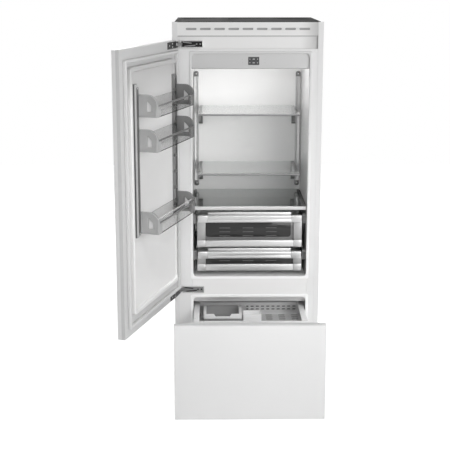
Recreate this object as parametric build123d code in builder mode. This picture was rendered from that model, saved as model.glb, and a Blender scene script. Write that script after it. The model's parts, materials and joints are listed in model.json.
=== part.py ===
from build123d import *
import os

# A built-in refrigerator: one left-hinged door above a pull-out freezer drawer.
# Millimetres. X runs to the right, Y to the back and Z up from the floor.
# The origin lies on the floor under the middle of the cabinet.
# Pieces are drawn with the door and drawer shut, then moved to the open pose they are kept in.
# Depths are measured from the front plane of the cabinet, positive towards the back.

# Cabinet, stacked from the floor upwards
body_depth = 570
base_clearance = 60
base_height = 135
floor_insulation = 42
freezer_height = 358
divider_height = 148
fridge_height = 1195
roof_insulation = 56
bay_height = 98
sheet = 2
liner_wall = 3
back_insulation = 62
interior_width = 612
left_insulation = 81
right_insulation = 51
trim_width = 28
trim_overhang = 12.5
ledge_height = 19
rail_recess = 12
grille_height = 68
divider_face_low = 42
divider_face_high = 137
bevel_depth = 40
lip_depth = 8
toe_recess = 40

# Vent grille
grille_thickness = 4
vent_count = 9
vent_pitch = 72.5
vent_length = 54.7
vent_height = 10.8

# Control fascia and display
fascia_height = 81
fascia_front = 15
fascia_depth = 45
fascia_round = 6
display_width = 58
display_height = 43
display_shift = 16
display_round = 5
display_depth = 2
display_fit = 0.1
lamp_width = 420
lamp_depth = 34
lamp_thickness = 4
lamp_setback = 40

# Shelves on their rear rails
rail_width = 27
rail_depth = 10
rail_low = 402
rail_height = 657
rail_inset = 5
rail_slot_width = 5
rail_slot_height = 14
rail_slot_pitch = 32
rail_slot_count = 19
shelf_rail_gap = 6
shelf_front = 118
shelf_glass = 5
upper_shelf_level = 866
lower_shelf_level = 544
shelf_trim_height = 10
shelf_trim_depth = 6
bracket_plate = 4
bracket_flange = 20
bracket_drop = 46
bracket_nose = 12
bracket_front_gap = 60

# Crisper drawers, their cover and their side supports
cover_side_gap = 7
cover_front = 34
cover_level = 382
cover_back_gap = 15
cover_trim_height = 19
cover_trim_depth = 8
support_plate = 6
support_ledge = 20
support_ledge_height = 14
support_front = 52
support_back_gap = 25
crisper_side_gap = 25.5
crisper_front = 35
crisper_back_gap = 36
crisper_wall = 3
upper_crisper_low = 158
upper_crisper_height = 191
lower_crisper_low = 25
lower_crisper_height = 125
crisper_flange = 10
crisper_flange_thickness = 4
crisper_face_depth = 14
crisper_post_width = 44
crisper_rail_height = 37
crisper_handle_height = 38
crisper_handle_proud = 13
crisper_rim_height = 14
crisper_rim_setback = 5
crisper_grip_groove = 7
window_thickness = 4
window_fit = 0.2
runner_gap = 0.3

# Door, drawn shut
door_gap = 18
panel_thickness = 19
core_thickness = 18
panel_edge = 1.5
door_overlap_low = 20
door_overlap_high = 45
panel_gap = 5
door_angle = 108.5
gasket_width = 16
gasket_side_margin = 36
gasket_low_margin = 40
gasket_high_margin = 47
gasket_clearance = 0.5
plug_clearance = 14
plug_depth = 26
plug_low_margin = 102
plug_high_margin = 82
plug_chamfer = 10

# Door bins on their rails
door_rail_width = 28
door_rail_depth = 6
door_rail_low = 471
door_rail_drop = 159
door_rail_inset = 2
door_rail_free_inset = 32
bin_depth = 94
bin_wall = 3
bin_cap_thickness = 18
bin_cap_height = 103
bin_front_height = 54
bin_back_height = 70
bin_cap_slope = 34
bin_cap_round = 16
bin_slot_length = 34
bin_slot_height = 12
bin_slot_drop = 20
bin_slot_setback = 8
top_bin_drop = 311
middle_bin_drop = 472
bottom_bin_level = 488
wire_radius = 3.5
wire_setback = 14
wire_drop = 38

# Door hinges
pivot_inset = 10
pivot_depth = -24
pin_radius = 4
pin_fit = 0.05
pin_head_radius = 6.5
pin_head = 2
boss_radius = 9
arm_width = 12
arm_thickness = 16
lug_thickness = 7
lug_gap = 0.3
hinge_inset = 20
notch_width = 45
notch_margin = 4
hinge_plate = 3
hinge_plate_length = 115
hinge_plate_height = 34
hinge_plate_start = 38
bracket_length = 115
bracket_height = 28
bracket_proud = 10
bracket_start = 30

# Freezer drawer, slides and upper tray
plinth_height = 162
drawer_gasket_width = 12
drawer_gasket_side = 30
drawer_gasket_low = 43
drawer_gasket_high = 2
slide_plate = 6
slide_height = 44
slide_level = 205
slide_back_gap = 8
slide_start = 45
slide_clearance = 0.5
basket_height = 220
basket_floor_gap = 10
basket_back_gap = 31
basket_wall = 4
basket_corner = 24
drawer_travel = 465
tray_start = 24
tray_back_gap = 79
tray_height = 74
tray_wall = 4
tray_floor = 4
tray_side_gap = 8
tray_lip = 5
tray_slot_columns = 3
tray_slot_rows = 4
tray_slot_length = 40
tray_slot_width = 8
tray_slot_pitch = 18
tray_vent_count = 10
tray_vent_pitch = 29
tray_vent_width = 18
tray_vent_margin = 170
tray_vent_height = 7
tray_vent_row_pitch = 16
tray_slot_column_pitch = 52
tray_right_margin = 96
ice_bin_width = 205
ice_bin_height = 62
ice_bin_wall = 3
ice_bin_gap = 40
storage_gap = 6
bin_front_gap = 6
bin_back_gap = 26
ice_notch_top = 110
ice_notch_bottom = 70
ice_notch_drop = 24
storage_width = 100
storage_height = 58
storage_wall = 3

# Base, feet and cooling parts
foot_pad_radius = 22
foot_pad_height = 14
foot_stem_radius = 7
foot_side_inset = 45
foot_front = 90
foot_back_inset = 45
pan_sheet = 3
kick_gap = 6
compressor_radius = 62
compressor_height = 112
compressor_round = 30
compressor_x = 170
compressor_back_inset = 100
compressor_foot = 4
compressor_foot_width = 170
compressor_foot_depth = 100
condenser_width = 420
condenser_height = 80
condenser_depth = 90
condenser_front = 120
fin_pitch = 12
fin_groove = 8
fin_groove_depth = 12
evaporator_width = 460
evaporator_height = 150
evaporator_depth = 40
evaporator_lift = 12
evaporator_cover_setback = 62
evaporator_cover_wall = 3
evaporator_cover_fit = 0.5
outlet_count = 8
outlet_pitch = 50
outlet_width = 36
outlet_height = 10
outlet_drop = 70
fan_radius = 44
fan_hub_radius = 14
fan_hub_length = 16
fan_blade_count = 5
fan_blade_chord = 18
fan_blade_thickness = 2
fan_blade_pitch = 35
fan_drop = 140
fan_shaft_radius = 3
fan_shaft_fit = 0.05
fan_gap = 3
motor_radius = 20

# Heights and limits worked out from the stack, the walls and the compartments
body_width = left_insulation + right_insulation + 2 * liner_wall + interior_width
panel_width = body_width
interior_offset = (left_insulation - right_insulation) / 2
half_width = body_width / 2
front_y = -body_depth / 2
base_top = base_clearance + base_height
freezer_floor_z = base_top + floor_insulation + liner_wall
freezer_top_z = freezer_floor_z + freezer_height
fridge_floor_z = freezer_top_z + divider_height
fridge_top_z = fridge_floor_z + fridge_height
roof_bottom_z = fridge_top_z + liner_wall
ledge_top_z = roof_bottom_z + ledge_height
roof_top_z = roof_bottom_z + roof_insulation
cover_bottom_z = roof_top_z + bay_height
total_height = cover_bottom_z + sheet
grille_bottom_z = cover_bottom_z - grille_height
left_x = interior_offset - interior_width / 2
right_x = interior_offset + interior_width / 2
wall_back = body_depth - back_insulation
fridge_back = wall_back - liner_wall
liner_front = sheet + lip_depth
cover_back = wall_back - liner_wall - cover_back_gap

# The open pose
pivot_x = -panel_width / 2 + pivot_inset
pivot_y = front_y + pivot_depth
open_door = Pos(pivot_x, pivot_y, 0) * Rot(0, 0, -door_angle) * Pos(-pivot_x, -pivot_y, 0)
open_drawer = Pos(0, -drawer_travel, 0)
open_tray = Pos(0, -drawer_travel / 2, 0)

os.makedirs("parts", exist_ok=True)


def block(x, depth, z, mode=Mode.ADD):
    """A box between two limits along each axis, its depths counted from the cabinet's front plane."""
    middle = ((x[0] + x[1]) / 2, front_y + (depth[0] + depth[1]) / 2, (z[0] + z[1]) / 2)
    with Locations(middle):
        Box(x[1] - x[0], depth[1] - depth[0], z[1] - z[0], mode=mode)


def side_profile(points):
    """A closed outline in the side view, given as depth and height pairs."""
    Polygon(*[(front_y + depth, z) for depth, z in points], align=None)


def save(piece, name, pose=Location()):
    """Move a finished piece to its kept pose and write it under its name."""
    placed = piece.part.moved(pose)
    placed.label = name
    export_step(placed, f"parts/{name}.step")


# Insulated walls
with BuildPart() as side_wall_left:
    block((-half_width, left_x - liner_wall), (sheet, wall_back), (base_top, roof_bottom_z))
save(side_wall_left, "side_wall_left")

with BuildPart() as side_wall_right:
    block((right_x + liner_wall, half_width), (sheet, wall_back), (base_top, roof_bottom_z))
save(side_wall_right, "side_wall_right")

with BuildPart() as back_wall:
    block((-half_width, half_width), (wall_back, body_depth), (base_top, roof_bottom_z))
save(back_wall, "back_wall")

with BuildPart() as roof:
    with BuildSketch(Plane.YZ):
        side_profile(
            [
                (sheet, roof_bottom_z),
                (body_depth, roof_bottom_z),
                (body_depth, roof_top_z),
                (rail_recess + sheet, roof_top_z),
                (rail_recess + sheet, ledge_top_z),
                (sheet, ledge_top_z),
            ]
        )
    extrude(amount=half_width, both=True)
save(roof, "roof")

divider_left = left_x - liner_wall
divider_width = interior_width + 2 * liner_wall
with BuildPart() as divider:
    with BuildSketch(Plane.YZ.offset(divider_left)):
        side_profile(
            [
                (sheet, freezer_top_z + divider_face_low),
                (sheet, freezer_top_z + divider_face_high),
                (liner_front, fridge_floor_z - liner_wall),
                (wall_back, fridge_floor_z - liner_wall),
                (wall_back, freezer_top_z + liner_wall),
                (sheet + bevel_depth, freezer_top_z + liner_wall),
            ]
        )
    extrude(amount=divider_width)
save(divider, "divider")

with BuildPart() as freezer_floor:
    block(
        (left_x - liner_wall, right_x + liner_wall),
        (sheet, wall_back),
        (base_top, freezer_floor_z - liner_wall),
    )
save(freezer_floor, "freezer_floor")


def liner(front, low, high):
    """A thin tub with an open front, lining one compartment."""
    with BuildPart() as tub:
        block(
            (left_x - liner_wall, right_x + liner_wall),
            (front, wall_back),
            (low - liner_wall, high + liner_wall),
        )
        block((left_x, right_x), (front, fridge_back), (low, high), mode=Mode.SUBTRACT)
    return tub


save(liner(liner_front, fridge_floor_z, fridge_top_z), "fridge_liner")
save(liner(sheet + bevel_depth, freezer_floor_z, freezer_top_z), "freezer_liner")

# Outer trims, top housing and grille
trim_inner = half_width + trim_overhang - trim_width
with BuildPart() as side_trims:
    for side in (-1, 1):
        edges_x = sorted((side * trim_inner, side * (trim_inner + trim_width)))
        block(edges_x, (0, sheet), (base_top, total_height))
save(side_trims, "side_trims")

with BuildPart() as top_housing:
    block((-half_width, half_width), (sheet, body_depth), (roof_top_z, cover_bottom_z))
    block(
        (-half_width + sheet, half_width - sheet),
        (sheet, body_depth - sheet),
        (roof_top_z, cover_bottom_z),
        mode=Mode.SUBTRACT,
    )
save(top_housing, "top_housing")

with BuildPart() as top_cover:
    block((-half_width, half_width), (sheet, body_depth), (cover_bottom_z, total_height))
save(top_cover, "top_cover")

grille_half = half_width - sheet
with BuildPart() as vent_grille:
    block((-grille_half, grille_half), (sheet, sheet + grille_thickness), (grille_bottom_z, cover_bottom_z))
    with BuildSketch(Plane.XZ.offset(-front_y)):
        with Locations((0, (grille_bottom_z + cover_bottom_z) / 2)):
            with GridLocations(vent_pitch, 0, vent_count, 1):
                SlotOverall(vent_length, vent_height)
    extrude(amount=-(sheet + grille_thickness), mode=Mode.SUBTRACT)
save(vent_grille, "vent_grille")

with BuildPart() as hinge_rail:
    block((-grille_half, grille_half), (rail_recess, rail_recess + sheet), (ledge_top_z, grille_bottom_z))
    block(
        (-grille_half, grille_half),
        (sheet, rail_recess + sheet),
        (grille_bottom_z, grille_bottom_z + sheet),
    )
    block(
        (-grille_half, grille_half),
        (sheet, sheet + grille_thickness),
        (grille_bottom_z, grille_bottom_z + sheet),
        mode=Mode.SUBTRACT,
    )
save(hinge_rail, "hinge_rail")

# Control fascia, display and lamp
fascia_low_z = fridge_top_z - fascia_height
fascia_middle_z = fridge_top_z - fascia_height / 2
display_plane = Plane(
    origin=(interior_offset + display_shift, front_y + fascia_front, fascia_middle_z),
    x_dir=(1, 0, 0),
    z_dir=(0, -1, 0),
)
with BuildPart() as control_fascia:
    block((left_x, right_x), (fascia_front, fascia_front + fascia_depth), (fascia_low_z, fridge_top_z))
    lower_front_edge = control_fascia.edges().filter_by(Axis.X).group_by(Axis.Z)[0].sort_by(Axis.Y)[0]
    fillet(lower_front_edge, fascia_round)
    with BuildSketch(display_plane):
        RectangleRounded(
            display_width + 2 * display_fit, display_height + 2 * display_fit, display_round + display_fit
        )
    extrude(amount=-display_depth, mode=Mode.SUBTRACT)
save(control_fascia, "control_fascia")

with BuildPart() as display_window:
    with BuildSketch(display_plane):
        RectangleRounded(display_width, display_height, display_round)
    extrude(amount=-display_depth)
save(display_window, "display_window")

lamp_front = fascia_front + fascia_depth + lamp_setback
with BuildPart() as lamp_lens:
    block(
        (interior_offset - lamp_width / 2, interior_offset + lamp_width / 2),
        (lamp_front, lamp_front + lamp_depth),
        (fridge_top_z - lamp_thickness, fridge_top_z),
    )
    fillet(lamp_lens.edges().filter_by(Axis.Z), lamp_depth / 3)
save(lamp_lens, "lamp_lens")

# Shelf rails, glass shelves, brackets and trims
rail_low_z = fridge_floor_z + rail_low
with BuildPart() as shelf_rails:
    for rail_x in (left_x + rail_inset + rail_width / 2, right_x - rail_inset - rail_width / 2):
        block(
            (rail_x - rail_width / 2, rail_x + rail_width / 2),
            (fridge_back - rail_depth, fridge_back),
            (rail_low_z, rail_low_z + rail_height),
        )
        with BuildSketch(Plane.XZ.offset(-(front_y + fridge_back - rail_depth))):
            with Locations((rail_x, rail_low_z + rail_height / 2)):
                with GridLocations(0, rail_slot_pitch, 1, rail_slot_count):
                    Rectangle(rail_slot_width, rail_slot_height)
        extrude(amount=-rail_depth / 2, mode=Mode.SUBTRACT)
save(shelf_rails, "shelf_rails")

shelf_levels = (fridge_floor_z + upper_shelf_level, fridge_floor_z + lower_shelf_level)
rail_inner = interior_width / 2 - rail_inset - rail_width
shelf_half = rail_inner - shelf_rail_gap
rail_front = fridge_back - rail_depth
with BuildPart() as glass_shelves:
    for level in shelf_levels:
        block(
            (interior_offset - shelf_half, interior_offset + shelf_half),
            (shelf_front, rail_front),
            (level - shelf_glass, level),
        )
save(glass_shelves, "glass_shelves")

with BuildPart() as shelf_brackets:
    for level in shelf_levels:
        flange_top = level - shelf_glass
        for side in (-1, 1):
            plate_start = interior_offset + side * rail_inner + (0 if side < 0 else -bracket_plate)
            with BuildSketch(Plane.YZ.offset(plate_start)):
                side_profile(
                    [
                        (shelf_front + bracket_front_gap, flange_top - bracket_nose),
                        (shelf_front + bracket_front_gap, flange_top),
                        (rail_front, flange_top),
                        (rail_front, flange_top - bracket_drop),
                    ]
                )
            extrude(amount=bracket_plate)
            flange_x = sorted(
                (
                    interior_offset + side * rail_inner,
                    interior_offset + side * (rail_inner - bracket_flange),
                )
            )
            block(
                flange_x,
                (shelf_front + bracket_front_gap, rail_front),
                (flange_top - bracket_plate, flange_top),
            )
save(shelf_brackets, "shelf_brackets")

cover_level_z = fridge_floor_z + cover_level
cover_half = interior_width / 2 - cover_side_gap
with BuildPart() as shelf_trims:
    for level in shelf_levels:
        block(
            (interior_offset - shelf_half, interior_offset + shelf_half),
            (shelf_front - shelf_trim_depth, shelf_front),
            (level - shelf_trim_height, level),
        )
    block(
        (interior_offset - cover_half, interior_offset + cover_half),
        (cover_front - cover_trim_depth, cover_front),
        (cover_level_z - cover_trim_height, cover_level_z),
    )
save(shelf_trims, "shelf_trims")

# Crisper cover and side supports
with BuildPart() as crisper_cover:
    block(
        (interior_offset - cover_half, interior_offset + cover_half),
        (cover_front, cover_back),
        (cover_level_z - shelf_glass, cover_level_z),
    )
save(crisper_cover, "crisper_cover")

crisper_lows = (fridge_floor_z + upper_crisper_low, fridge_floor_z + lower_crisper_low)
crisper_heights = (upper_crisper_height, lower_crisper_height)
support_top_z = cover_level_z - shelf_glass
support_back = fridge_back - support_back_gap
with BuildPart() as crisper_supports:
    for side in (-1, 1):
        wall_x = interior_offset + side * interior_width / 2
        plate_x = sorted((wall_x, wall_x - side * support_plate))
        ledge_x = sorted((wall_x, wall_x - side * support_ledge))
        block(plate_x, (support_front, support_back), (fridge_floor_z, support_top_z))
        block(
            ledge_x,
            (support_front, support_back),
            (support_top_z - support_plate, support_top_z),
        )
        for low, height in zip(crisper_lows, crisper_heights):
            ledge_top = low + height - crisper_rim_height - crisper_flange_thickness - runner_gap
            block(ledge_x, (support_front, support_back), (ledge_top - support_ledge_height, ledge_top))
save(crisper_supports, "crisper_supports")


def crisper(name, low, height):
    """One crisper drawer: a box with side flanges, a framed front with its handle, and a window."""
    half = interior_width / 2 - crisper_side_gap
    high = low + height
    box_top = high - crisper_rim_height
    face_back = crisper_front + crisper_face_depth
    box_x = (interior_offset - half, interior_offset + half)
    box_back = fridge_back - crisper_back_gap
    with BuildPart() as box:
        block(box_x, (face_back, box_back), (low, box_top))
        block(
            (box_x[0] + crisper_wall, box_x[1] - crisper_wall),
            (face_back + crisper_wall, box_back - crisper_wall),
            (low + crisper_wall, box_top),
            mode=Mode.SUBTRACT,
        )
        for side in (-1, 1):
            edge_x = interior_offset + side * half
            block(
                sorted((edge_x, edge_x + side * crisper_flange)),
                (face_back, box_back),
                (box_top - crisper_flange_thickness, box_top),
            )
    save(box, f"{name}_crisper_box")

    handle_low = box_top - crisper_handle_height
    window_x = (box_x[0] + crisper_post_width, box_x[1] - crisper_post_width)
    window_z = (low + crisper_rail_height, handle_low)
    with BuildPart() as face:
        block(box_x, (crisper_front, face_back), (low, box_top))
        block(window_x, (crisper_front, face_back), window_z, mode=Mode.SUBTRACT)
        block(
            window_x,
            (crisper_front + crisper_rim_setback, face_back),
            (box_top, high),
        )
        with BuildSketch(Plane.YZ.offset(box_x[0])):
            side_profile(
                [
                    (crisper_front, box_top),
                    (crisper_front, handle_low + crisper_grip_groove),
                    (crisper_front - crisper_handle_proud / 2, handle_low + crisper_grip_groove),
                    (crisper_front - crisper_handle_proud / 2, handle_low),
                    (crisper_front - crisper_handle_proud, handle_low),
                    (crisper_front - crisper_handle_proud, box_top - crisper_handle_proud / 2),
                    (crisper_front - crisper_handle_proud / 2, box_top),
                ]
            )
        extrude(amount=2 * half)
    save(face, f"{name}_crisper_front")

    with BuildPart() as window:
        block(
            (window_x[0] + window_fit, window_x[1] - window_fit),
            (face_back - window_thickness, face_back),
            (window_z[0] + window_fit, window_z[1] - window_fit),
        )
    save(window, f"{name}_crisper_window")


for crisper_name, crisper_low, crisper_height in zip(("upper", "lower"), crisper_lows, crisper_heights):
    crisper(crisper_name, crisper_low, crisper_height)

# Door slab: the outer panel and the core behind it, notched at both hinges
door_low_z = freezer_top_z + divider_face_low + door_overlap_low
door_high_z = ledge_top_z + door_overlap_high
panel_half = panel_width / 2
core_front = -door_gap - core_thickness
panel_front = core_front - panel_thickness
hinge_levels = (door_high_z - hinge_inset, door_low_z + hinge_inset)
lug_reach = arm_thickness / 2 + lug_gap + lug_thickness


def front_panel(low, high):
    """A flat panel with softly rounded front edges, covering a door or drawer."""
    with BuildPart() as panel:
        block((-panel_half, panel_half), (panel_front, core_front), (low, high))
        fillet(panel.faces().sort_by(Axis.Y)[0].edges(), panel_edge)
    return panel


save(front_panel(door_low_z, door_high_z), "door_panel", open_door)

with BuildPart() as door_core:
    block((-panel_half, panel_half), (core_front, -door_gap), (door_low_z, door_high_z))
    notch_x = (-panel_half, -panel_half + notch_width)
    notch_reach = lug_reach + notch_margin
    block(
        notch_x, (core_front, -door_gap), (hinge_levels[0] - notch_reach, door_high_z), mode=Mode.SUBTRACT
    )
    block(
        notch_x, (core_front, -door_gap), (door_low_z, hinge_levels[1] + notch_reach), mode=Mode.SUBTRACT
    )
save(door_core, "door_core", open_door)


def gasket(margin, low, high, width):
    """A rectangular sealing ring standing in the gap between a slab and the cabinet."""
    outer = panel_half - margin
    inner = outer - width
    depths = (-door_gap, -gasket_clearance)
    with BuildPart() as ring:
        block((-outer, outer), depths, (low, high))
        block((-inner, inner), depths, (low + width, high - width), mode=Mode.SUBTRACT)
    return ring


door_gasket = gasket(
    gasket_side_margin, door_low_z + gasket_low_margin, door_high_z - gasket_high_margin, gasket_width
)
save(door_gasket, "door_gasket", open_door)

plug_face = -door_gap + plug_depth
plug_x = (left_x + plug_clearance, right_x - plug_clearance)
with BuildPart() as door_liner:
    block(plug_x, (-door_gap, plug_face), (door_low_z + plug_low_margin, door_high_z - plug_high_margin))
    chamfer(door_liner.faces().sort_by(Axis.Y)[-1].edges(), plug_chamfer)
save(door_liner, "door_liner", open_door)

# Door bins
rail_face = plug_face + door_rail_depth
door_rail_starts = (
    plug_x[0] + plug_chamfer + door_rail_inset,
    plug_x[1] - door_rail_free_inset - door_rail_width,
)
with BuildPart() as door_rails:
    for start in door_rail_starts:
        block(
            (start, start + door_rail_width),
            (plug_face, rail_face),
            (door_low_z + door_rail_low, door_high_z - door_rail_drop),
        )
save(door_rails, "door_rails", open_door)

bin_left = door_rail_starts[0]
bin_right = door_rail_starts[1]
bin_front = rail_face + bin_depth
bin_levels = {
    "top": door_high_z - top_bin_drop,
    "middle": door_high_z - middle_bin_drop,
    "bottom": door_low_z + bottom_bin_level,
}
for bin_name, level in bin_levels.items():
    with BuildPart() as bin_tray:
        inner_x = (bin_left + bin_cap_thickness, bin_right - bin_cap_thickness)
        block(inner_x, (rail_face, bin_front), (level, level + bin_wall))
        block(inner_x, (bin_front - bin_wall, bin_front), (level, level + bin_front_height))
        block(inner_x, (rail_face, rail_face + bin_wall), (level, level + bin_back_height))
    save(bin_tray, f"{bin_name}_bin", open_door)

with BuildPart() as bin_end_caps:
    for level in bin_levels.values():
        cap_top = level + bin_cap_height
        for start in (bin_left, bin_right - bin_cap_thickness):
            with BuildSketch(Plane.YZ.offset(start)) as cap_profile:
                side_profile(
                    [
                        (rail_face, level),
                        (bin_front, level),
                        (bin_front, cap_top - bin_cap_slope),
                        (bin_front - bin_cap_slope, cap_top),
                        (rail_face, cap_top),
                    ]
                )
                fillet(cap_profile.vertices().sort_by(Axis.X)[-3:], bin_cap_round)
                slot_depth = (rail_face + bin_front) / 2 - bin_slot_setback
                with Locations((front_y + slot_depth, cap_top - bin_slot_drop)):
                    SlotOverall(bin_slot_length, bin_slot_height, mode=Mode.SUBTRACT)
            extrude(amount=bin_cap_thickness)
save(bin_end_caps, "bin_end_caps", open_door)

wire_plane = Plane.YZ.offset(bin_left + bin_cap_thickness)
wire_place = (front_y + bin_front - wire_setback, bin_levels["bottom"] + bin_cap_height - wire_drop)
with BuildPart() as bin_wire:
    with BuildSketch(wire_plane):
        with Locations(wire_place):
            Circle(wire_radius)
    extrude(amount=bin_right - bin_left - 2 * bin_cap_thickness)
save(bin_wire, "bin_wire", open_door)

# Hinges: brackets on the cabinet, plates on the door, and pins
bracket_x = (pivot_x + bracket_start - pivot_inset, pivot_x + bracket_start - pivot_inset + bracket_length)
arm_end = Vector(bracket_x[0] + arm_width / 2, front_y - bracket_proud + arm_width / 2)
pivot = Vector(pivot_x, pivot_y)
arm_middle = (pivot + arm_end) / 2
arm_span = arm_end - pivot
bracket_backs = (rail_recess, sheet)
with BuildPart() as hinge_brackets:
    for level, back in zip(hinge_levels, bracket_backs):
        block(bracket_x, (-bracket_proud, back), (level - bracket_height / 2, level + bracket_height / 2))
        with BuildSketch(Plane.XY.offset(level - arm_thickness / 2)):
            with Locations(pivot):
                Circle(boss_radius)
            with Locations(arm_middle):
                Rectangle(arm_span.length, arm_width, rotation=arm_span.get_signed_angle(Vector(1, 0)))
            with Locations(pivot):
                Circle(pin_radius + pin_fit, mode=Mode.SUBTRACT)
        extrude(amount=arm_thickness)
save(hinge_brackets, "hinge_brackets")

plate_x = (-panel_half + hinge_plate_start, -panel_half + hinge_plate_start + hinge_plate_length)
lug_end = -panel_half + notch_width
with BuildPart() as hinge_plates:
    for level in hinge_levels:
        block(
            plate_x,
            (-door_gap, -door_gap + hinge_plate),
            (level - hinge_plate_height / 2, level + hinge_plate_height / 2),
        )
        for start in (level - lug_reach, level + arm_thickness / 2 + lug_gap):
            with BuildSketch(Plane.XY.offset(start)):
                with Locations(pivot):
                    Circle(boss_radius)
                lug_low = pivot_y - boss_radius
                lug_high = front_y - door_gap + hinge_plate
                with Locations(((pivot_x + lug_end) / 2, (lug_low + lug_high) / 2)):
                    Rectangle(lug_end - pivot_x, lug_high - lug_low)
                with Locations(pivot):
                    Circle(pin_radius + pin_fit, mode=Mode.SUBTRACT)
            extrude(amount=lug_thickness)
save(hinge_plates, "hinge_plates", open_door)

with BuildPart() as hinge_pins:
    for level in hinge_levels:
        with BuildSketch(Plane.XY.offset(level - lug_reach)):
            with Locations(pivot):
                Circle(pin_radius)
        extrude(amount=2 * lug_reach + lug_gap)
        with BuildSketch(Plane.XY.offset(level + lug_reach + lug_gap)):
            with Locations(pivot):
                Circle(pin_head_radius)
        extrude(amount=pin_head)
save(hinge_pins, "hinge_pins")

# Freezer drawer front
drawer_high_z = door_low_z - panel_gap
save(front_panel(plinth_height, drawer_high_z), "drawer_panel", open_drawer)

with BuildPart() as drawer_core:
    block((-panel_half, panel_half), (core_front, -door_gap), (plinth_height, drawer_high_z))
save(drawer_core, "drawer_core", open_drawer)

drawer_gasket = gasket(
    drawer_gasket_side,
    plinth_height + drawer_gasket_low,
    drawer_high_z - drawer_gasket_high,
    drawer_gasket_width,
)
save(drawer_gasket, "drawer_gasket", open_drawer)

# Three-part freezer slides on both sides, ending before the evaporator cover
cover_face = fridge_back - evaporator_cover_setback
slide_z = (freezer_floor_z + slide_level, freezer_floor_z + slide_level + slide_height)
slide_step = slide_plate + slide_clearance
slide_end = cover_face - slide_back_gap


def slides(order):
    """A pair of slide members, counted inwards from the side walls of the freezer."""
    with BuildPart() as pair:
        for side in (-1, 1):
            outer = interior_offset + side * (interior_width / 2 - order * slide_step)
            block(
                sorted((outer, outer - side * slide_plate)),
                (slide_start, slide_end),
                slide_z,
            )
    return pair


save(slides(0), "outer_slides")
save(slides(1), "middle_slides", open_tray)

basket_half = interior_width / 2 - 2 * slide_step - slide_plate
basket_low = freezer_floor_z + basket_floor_gap
basket_top = basket_low + basket_height
basket_back = cover_face - basket_back_gap
save(slides(2), "inner_slides", open_drawer)

with BuildPart() as freezer_basket:
    basket_x = (interior_offset - basket_half, interior_offset + basket_half)
    block(basket_x, (-door_gap, basket_back), (basket_low, basket_top))
    fillet(freezer_basket.edges().filter_by(Axis.Z).sort_by(Axis.Y)[-2:], basket_corner)
    block(
        (basket_x[0] + basket_wall, basket_x[1] - basket_wall),
        (-door_gap + basket_wall, basket_back - basket_wall),
        (basket_low + basket_wall, basket_top),
        mode=Mode.SUBTRACT,
    )
save(freezer_basket, "freezer_basket", open_drawer)

# Upper freezer tray on the middle slides, with its ice bin and storage box
tray_low = slide_z[1]
tray_half = interior_width / 2 - slide_step - tray_side_gap
tray_x = (interior_offset - tray_half, interior_offset + tray_half)
tray_back = cover_face - tray_back_gap
tray_middle = tray_x[1] - tray_right_margin
lip_half = interior_width / 2 - slide_step
with BuildPart() as freezer_tray:
    block(tray_x, (tray_start, tray_back), (tray_low, tray_low + tray_height))
    block(
        (interior_offset - lip_half, interior_offset + lip_half),
        (slide_start, tray_back),
        (tray_low, tray_low + tray_lip),
    )
    block(
        (tray_x[0] + tray_wall, tray_x[1] - tray_wall),
        (tray_start + tray_wall, tray_back - tray_wall),
        (tray_low + tray_floor, tray_low + tray_height),
        mode=Mode.SUBTRACT,
    )
    with BuildSketch(Plane.XY.offset(tray_low)):
        with Locations((tray_middle, front_y + (tray_start + tray_back) / 2)):
            with GridLocations(tray_slot_column_pitch, tray_slot_pitch, tray_slot_columns, tray_slot_rows):
                SlotOverall(tray_slot_length, tray_slot_width)
    extrude(amount=tray_floor, mode=Mode.SUBTRACT)
    with BuildSketch(Plane.XZ.offset(-(front_y + tray_back))):
        with Locations((tray_x[1] - tray_vent_margin, tray_low + tray_height / 2 + tray_floor)):
            with GridLocations(tray_vent_pitch, tray_vent_row_pitch, tray_vent_count, 2):
                SlotOverall(tray_vent_width, tray_vent_height)
    extrude(amount=tray_wall, mode=Mode.SUBTRACT)
save(freezer_tray, "freezer_tray", open_tray)

bin_low = tray_low + tray_floor
bin_start = tray_start + tray_wall + bin_front_gap
bin_end = tray_back - tray_wall - bin_back_gap
ice_bin_x = (tray_x[0] + tray_wall + ice_bin_gap, tray_x[0] + tray_wall + ice_bin_gap + ice_bin_width)
ice_bin_top = bin_low + ice_bin_height
ice_bin_middle = (ice_bin_x[0] + ice_bin_x[1]) / 2
with BuildPart() as ice_bin:
    block(ice_bin_x, (bin_start, bin_end), (bin_low, ice_bin_top))
    block(
        (ice_bin_x[0] + ice_bin_wall, ice_bin_x[1] - ice_bin_wall),
        (bin_start + ice_bin_wall, bin_end - ice_bin_wall),
        (bin_low + ice_bin_wall, ice_bin_top),
        mode=Mode.SUBTRACT,
    )
    with BuildSketch(Plane.XZ.offset(-(front_y + bin_start))):
        Polygon(
            (ice_bin_middle - ice_notch_top / 2, ice_bin_top),
            (ice_bin_middle - ice_notch_bottom / 2, ice_bin_top - ice_notch_drop),
            (ice_bin_middle + ice_notch_bottom / 2, ice_bin_top - ice_notch_drop),
            (ice_bin_middle + ice_notch_top / 2, ice_bin_top),
            align=None,
        )
    extrude(amount=-ice_bin_wall, mode=Mode.SUBTRACT)
save(ice_bin, "ice_bin", open_tray)

storage_x = (ice_bin_x[1] + storage_gap, ice_bin_x[1] + storage_gap + storage_width)
with BuildPart() as storage_box:
    block(storage_x, (bin_start, bin_end), (bin_low, bin_low + storage_height))
    block(
        (storage_x[0] + storage_wall, storage_x[1] - storage_wall),
        (bin_start + storage_wall, bin_end - storage_wall),
        (bin_low + storage_wall, bin_low + storage_height),
        mode=Mode.SUBTRACT,
    )
save(storage_box, "storage_box", open_tray)

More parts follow.
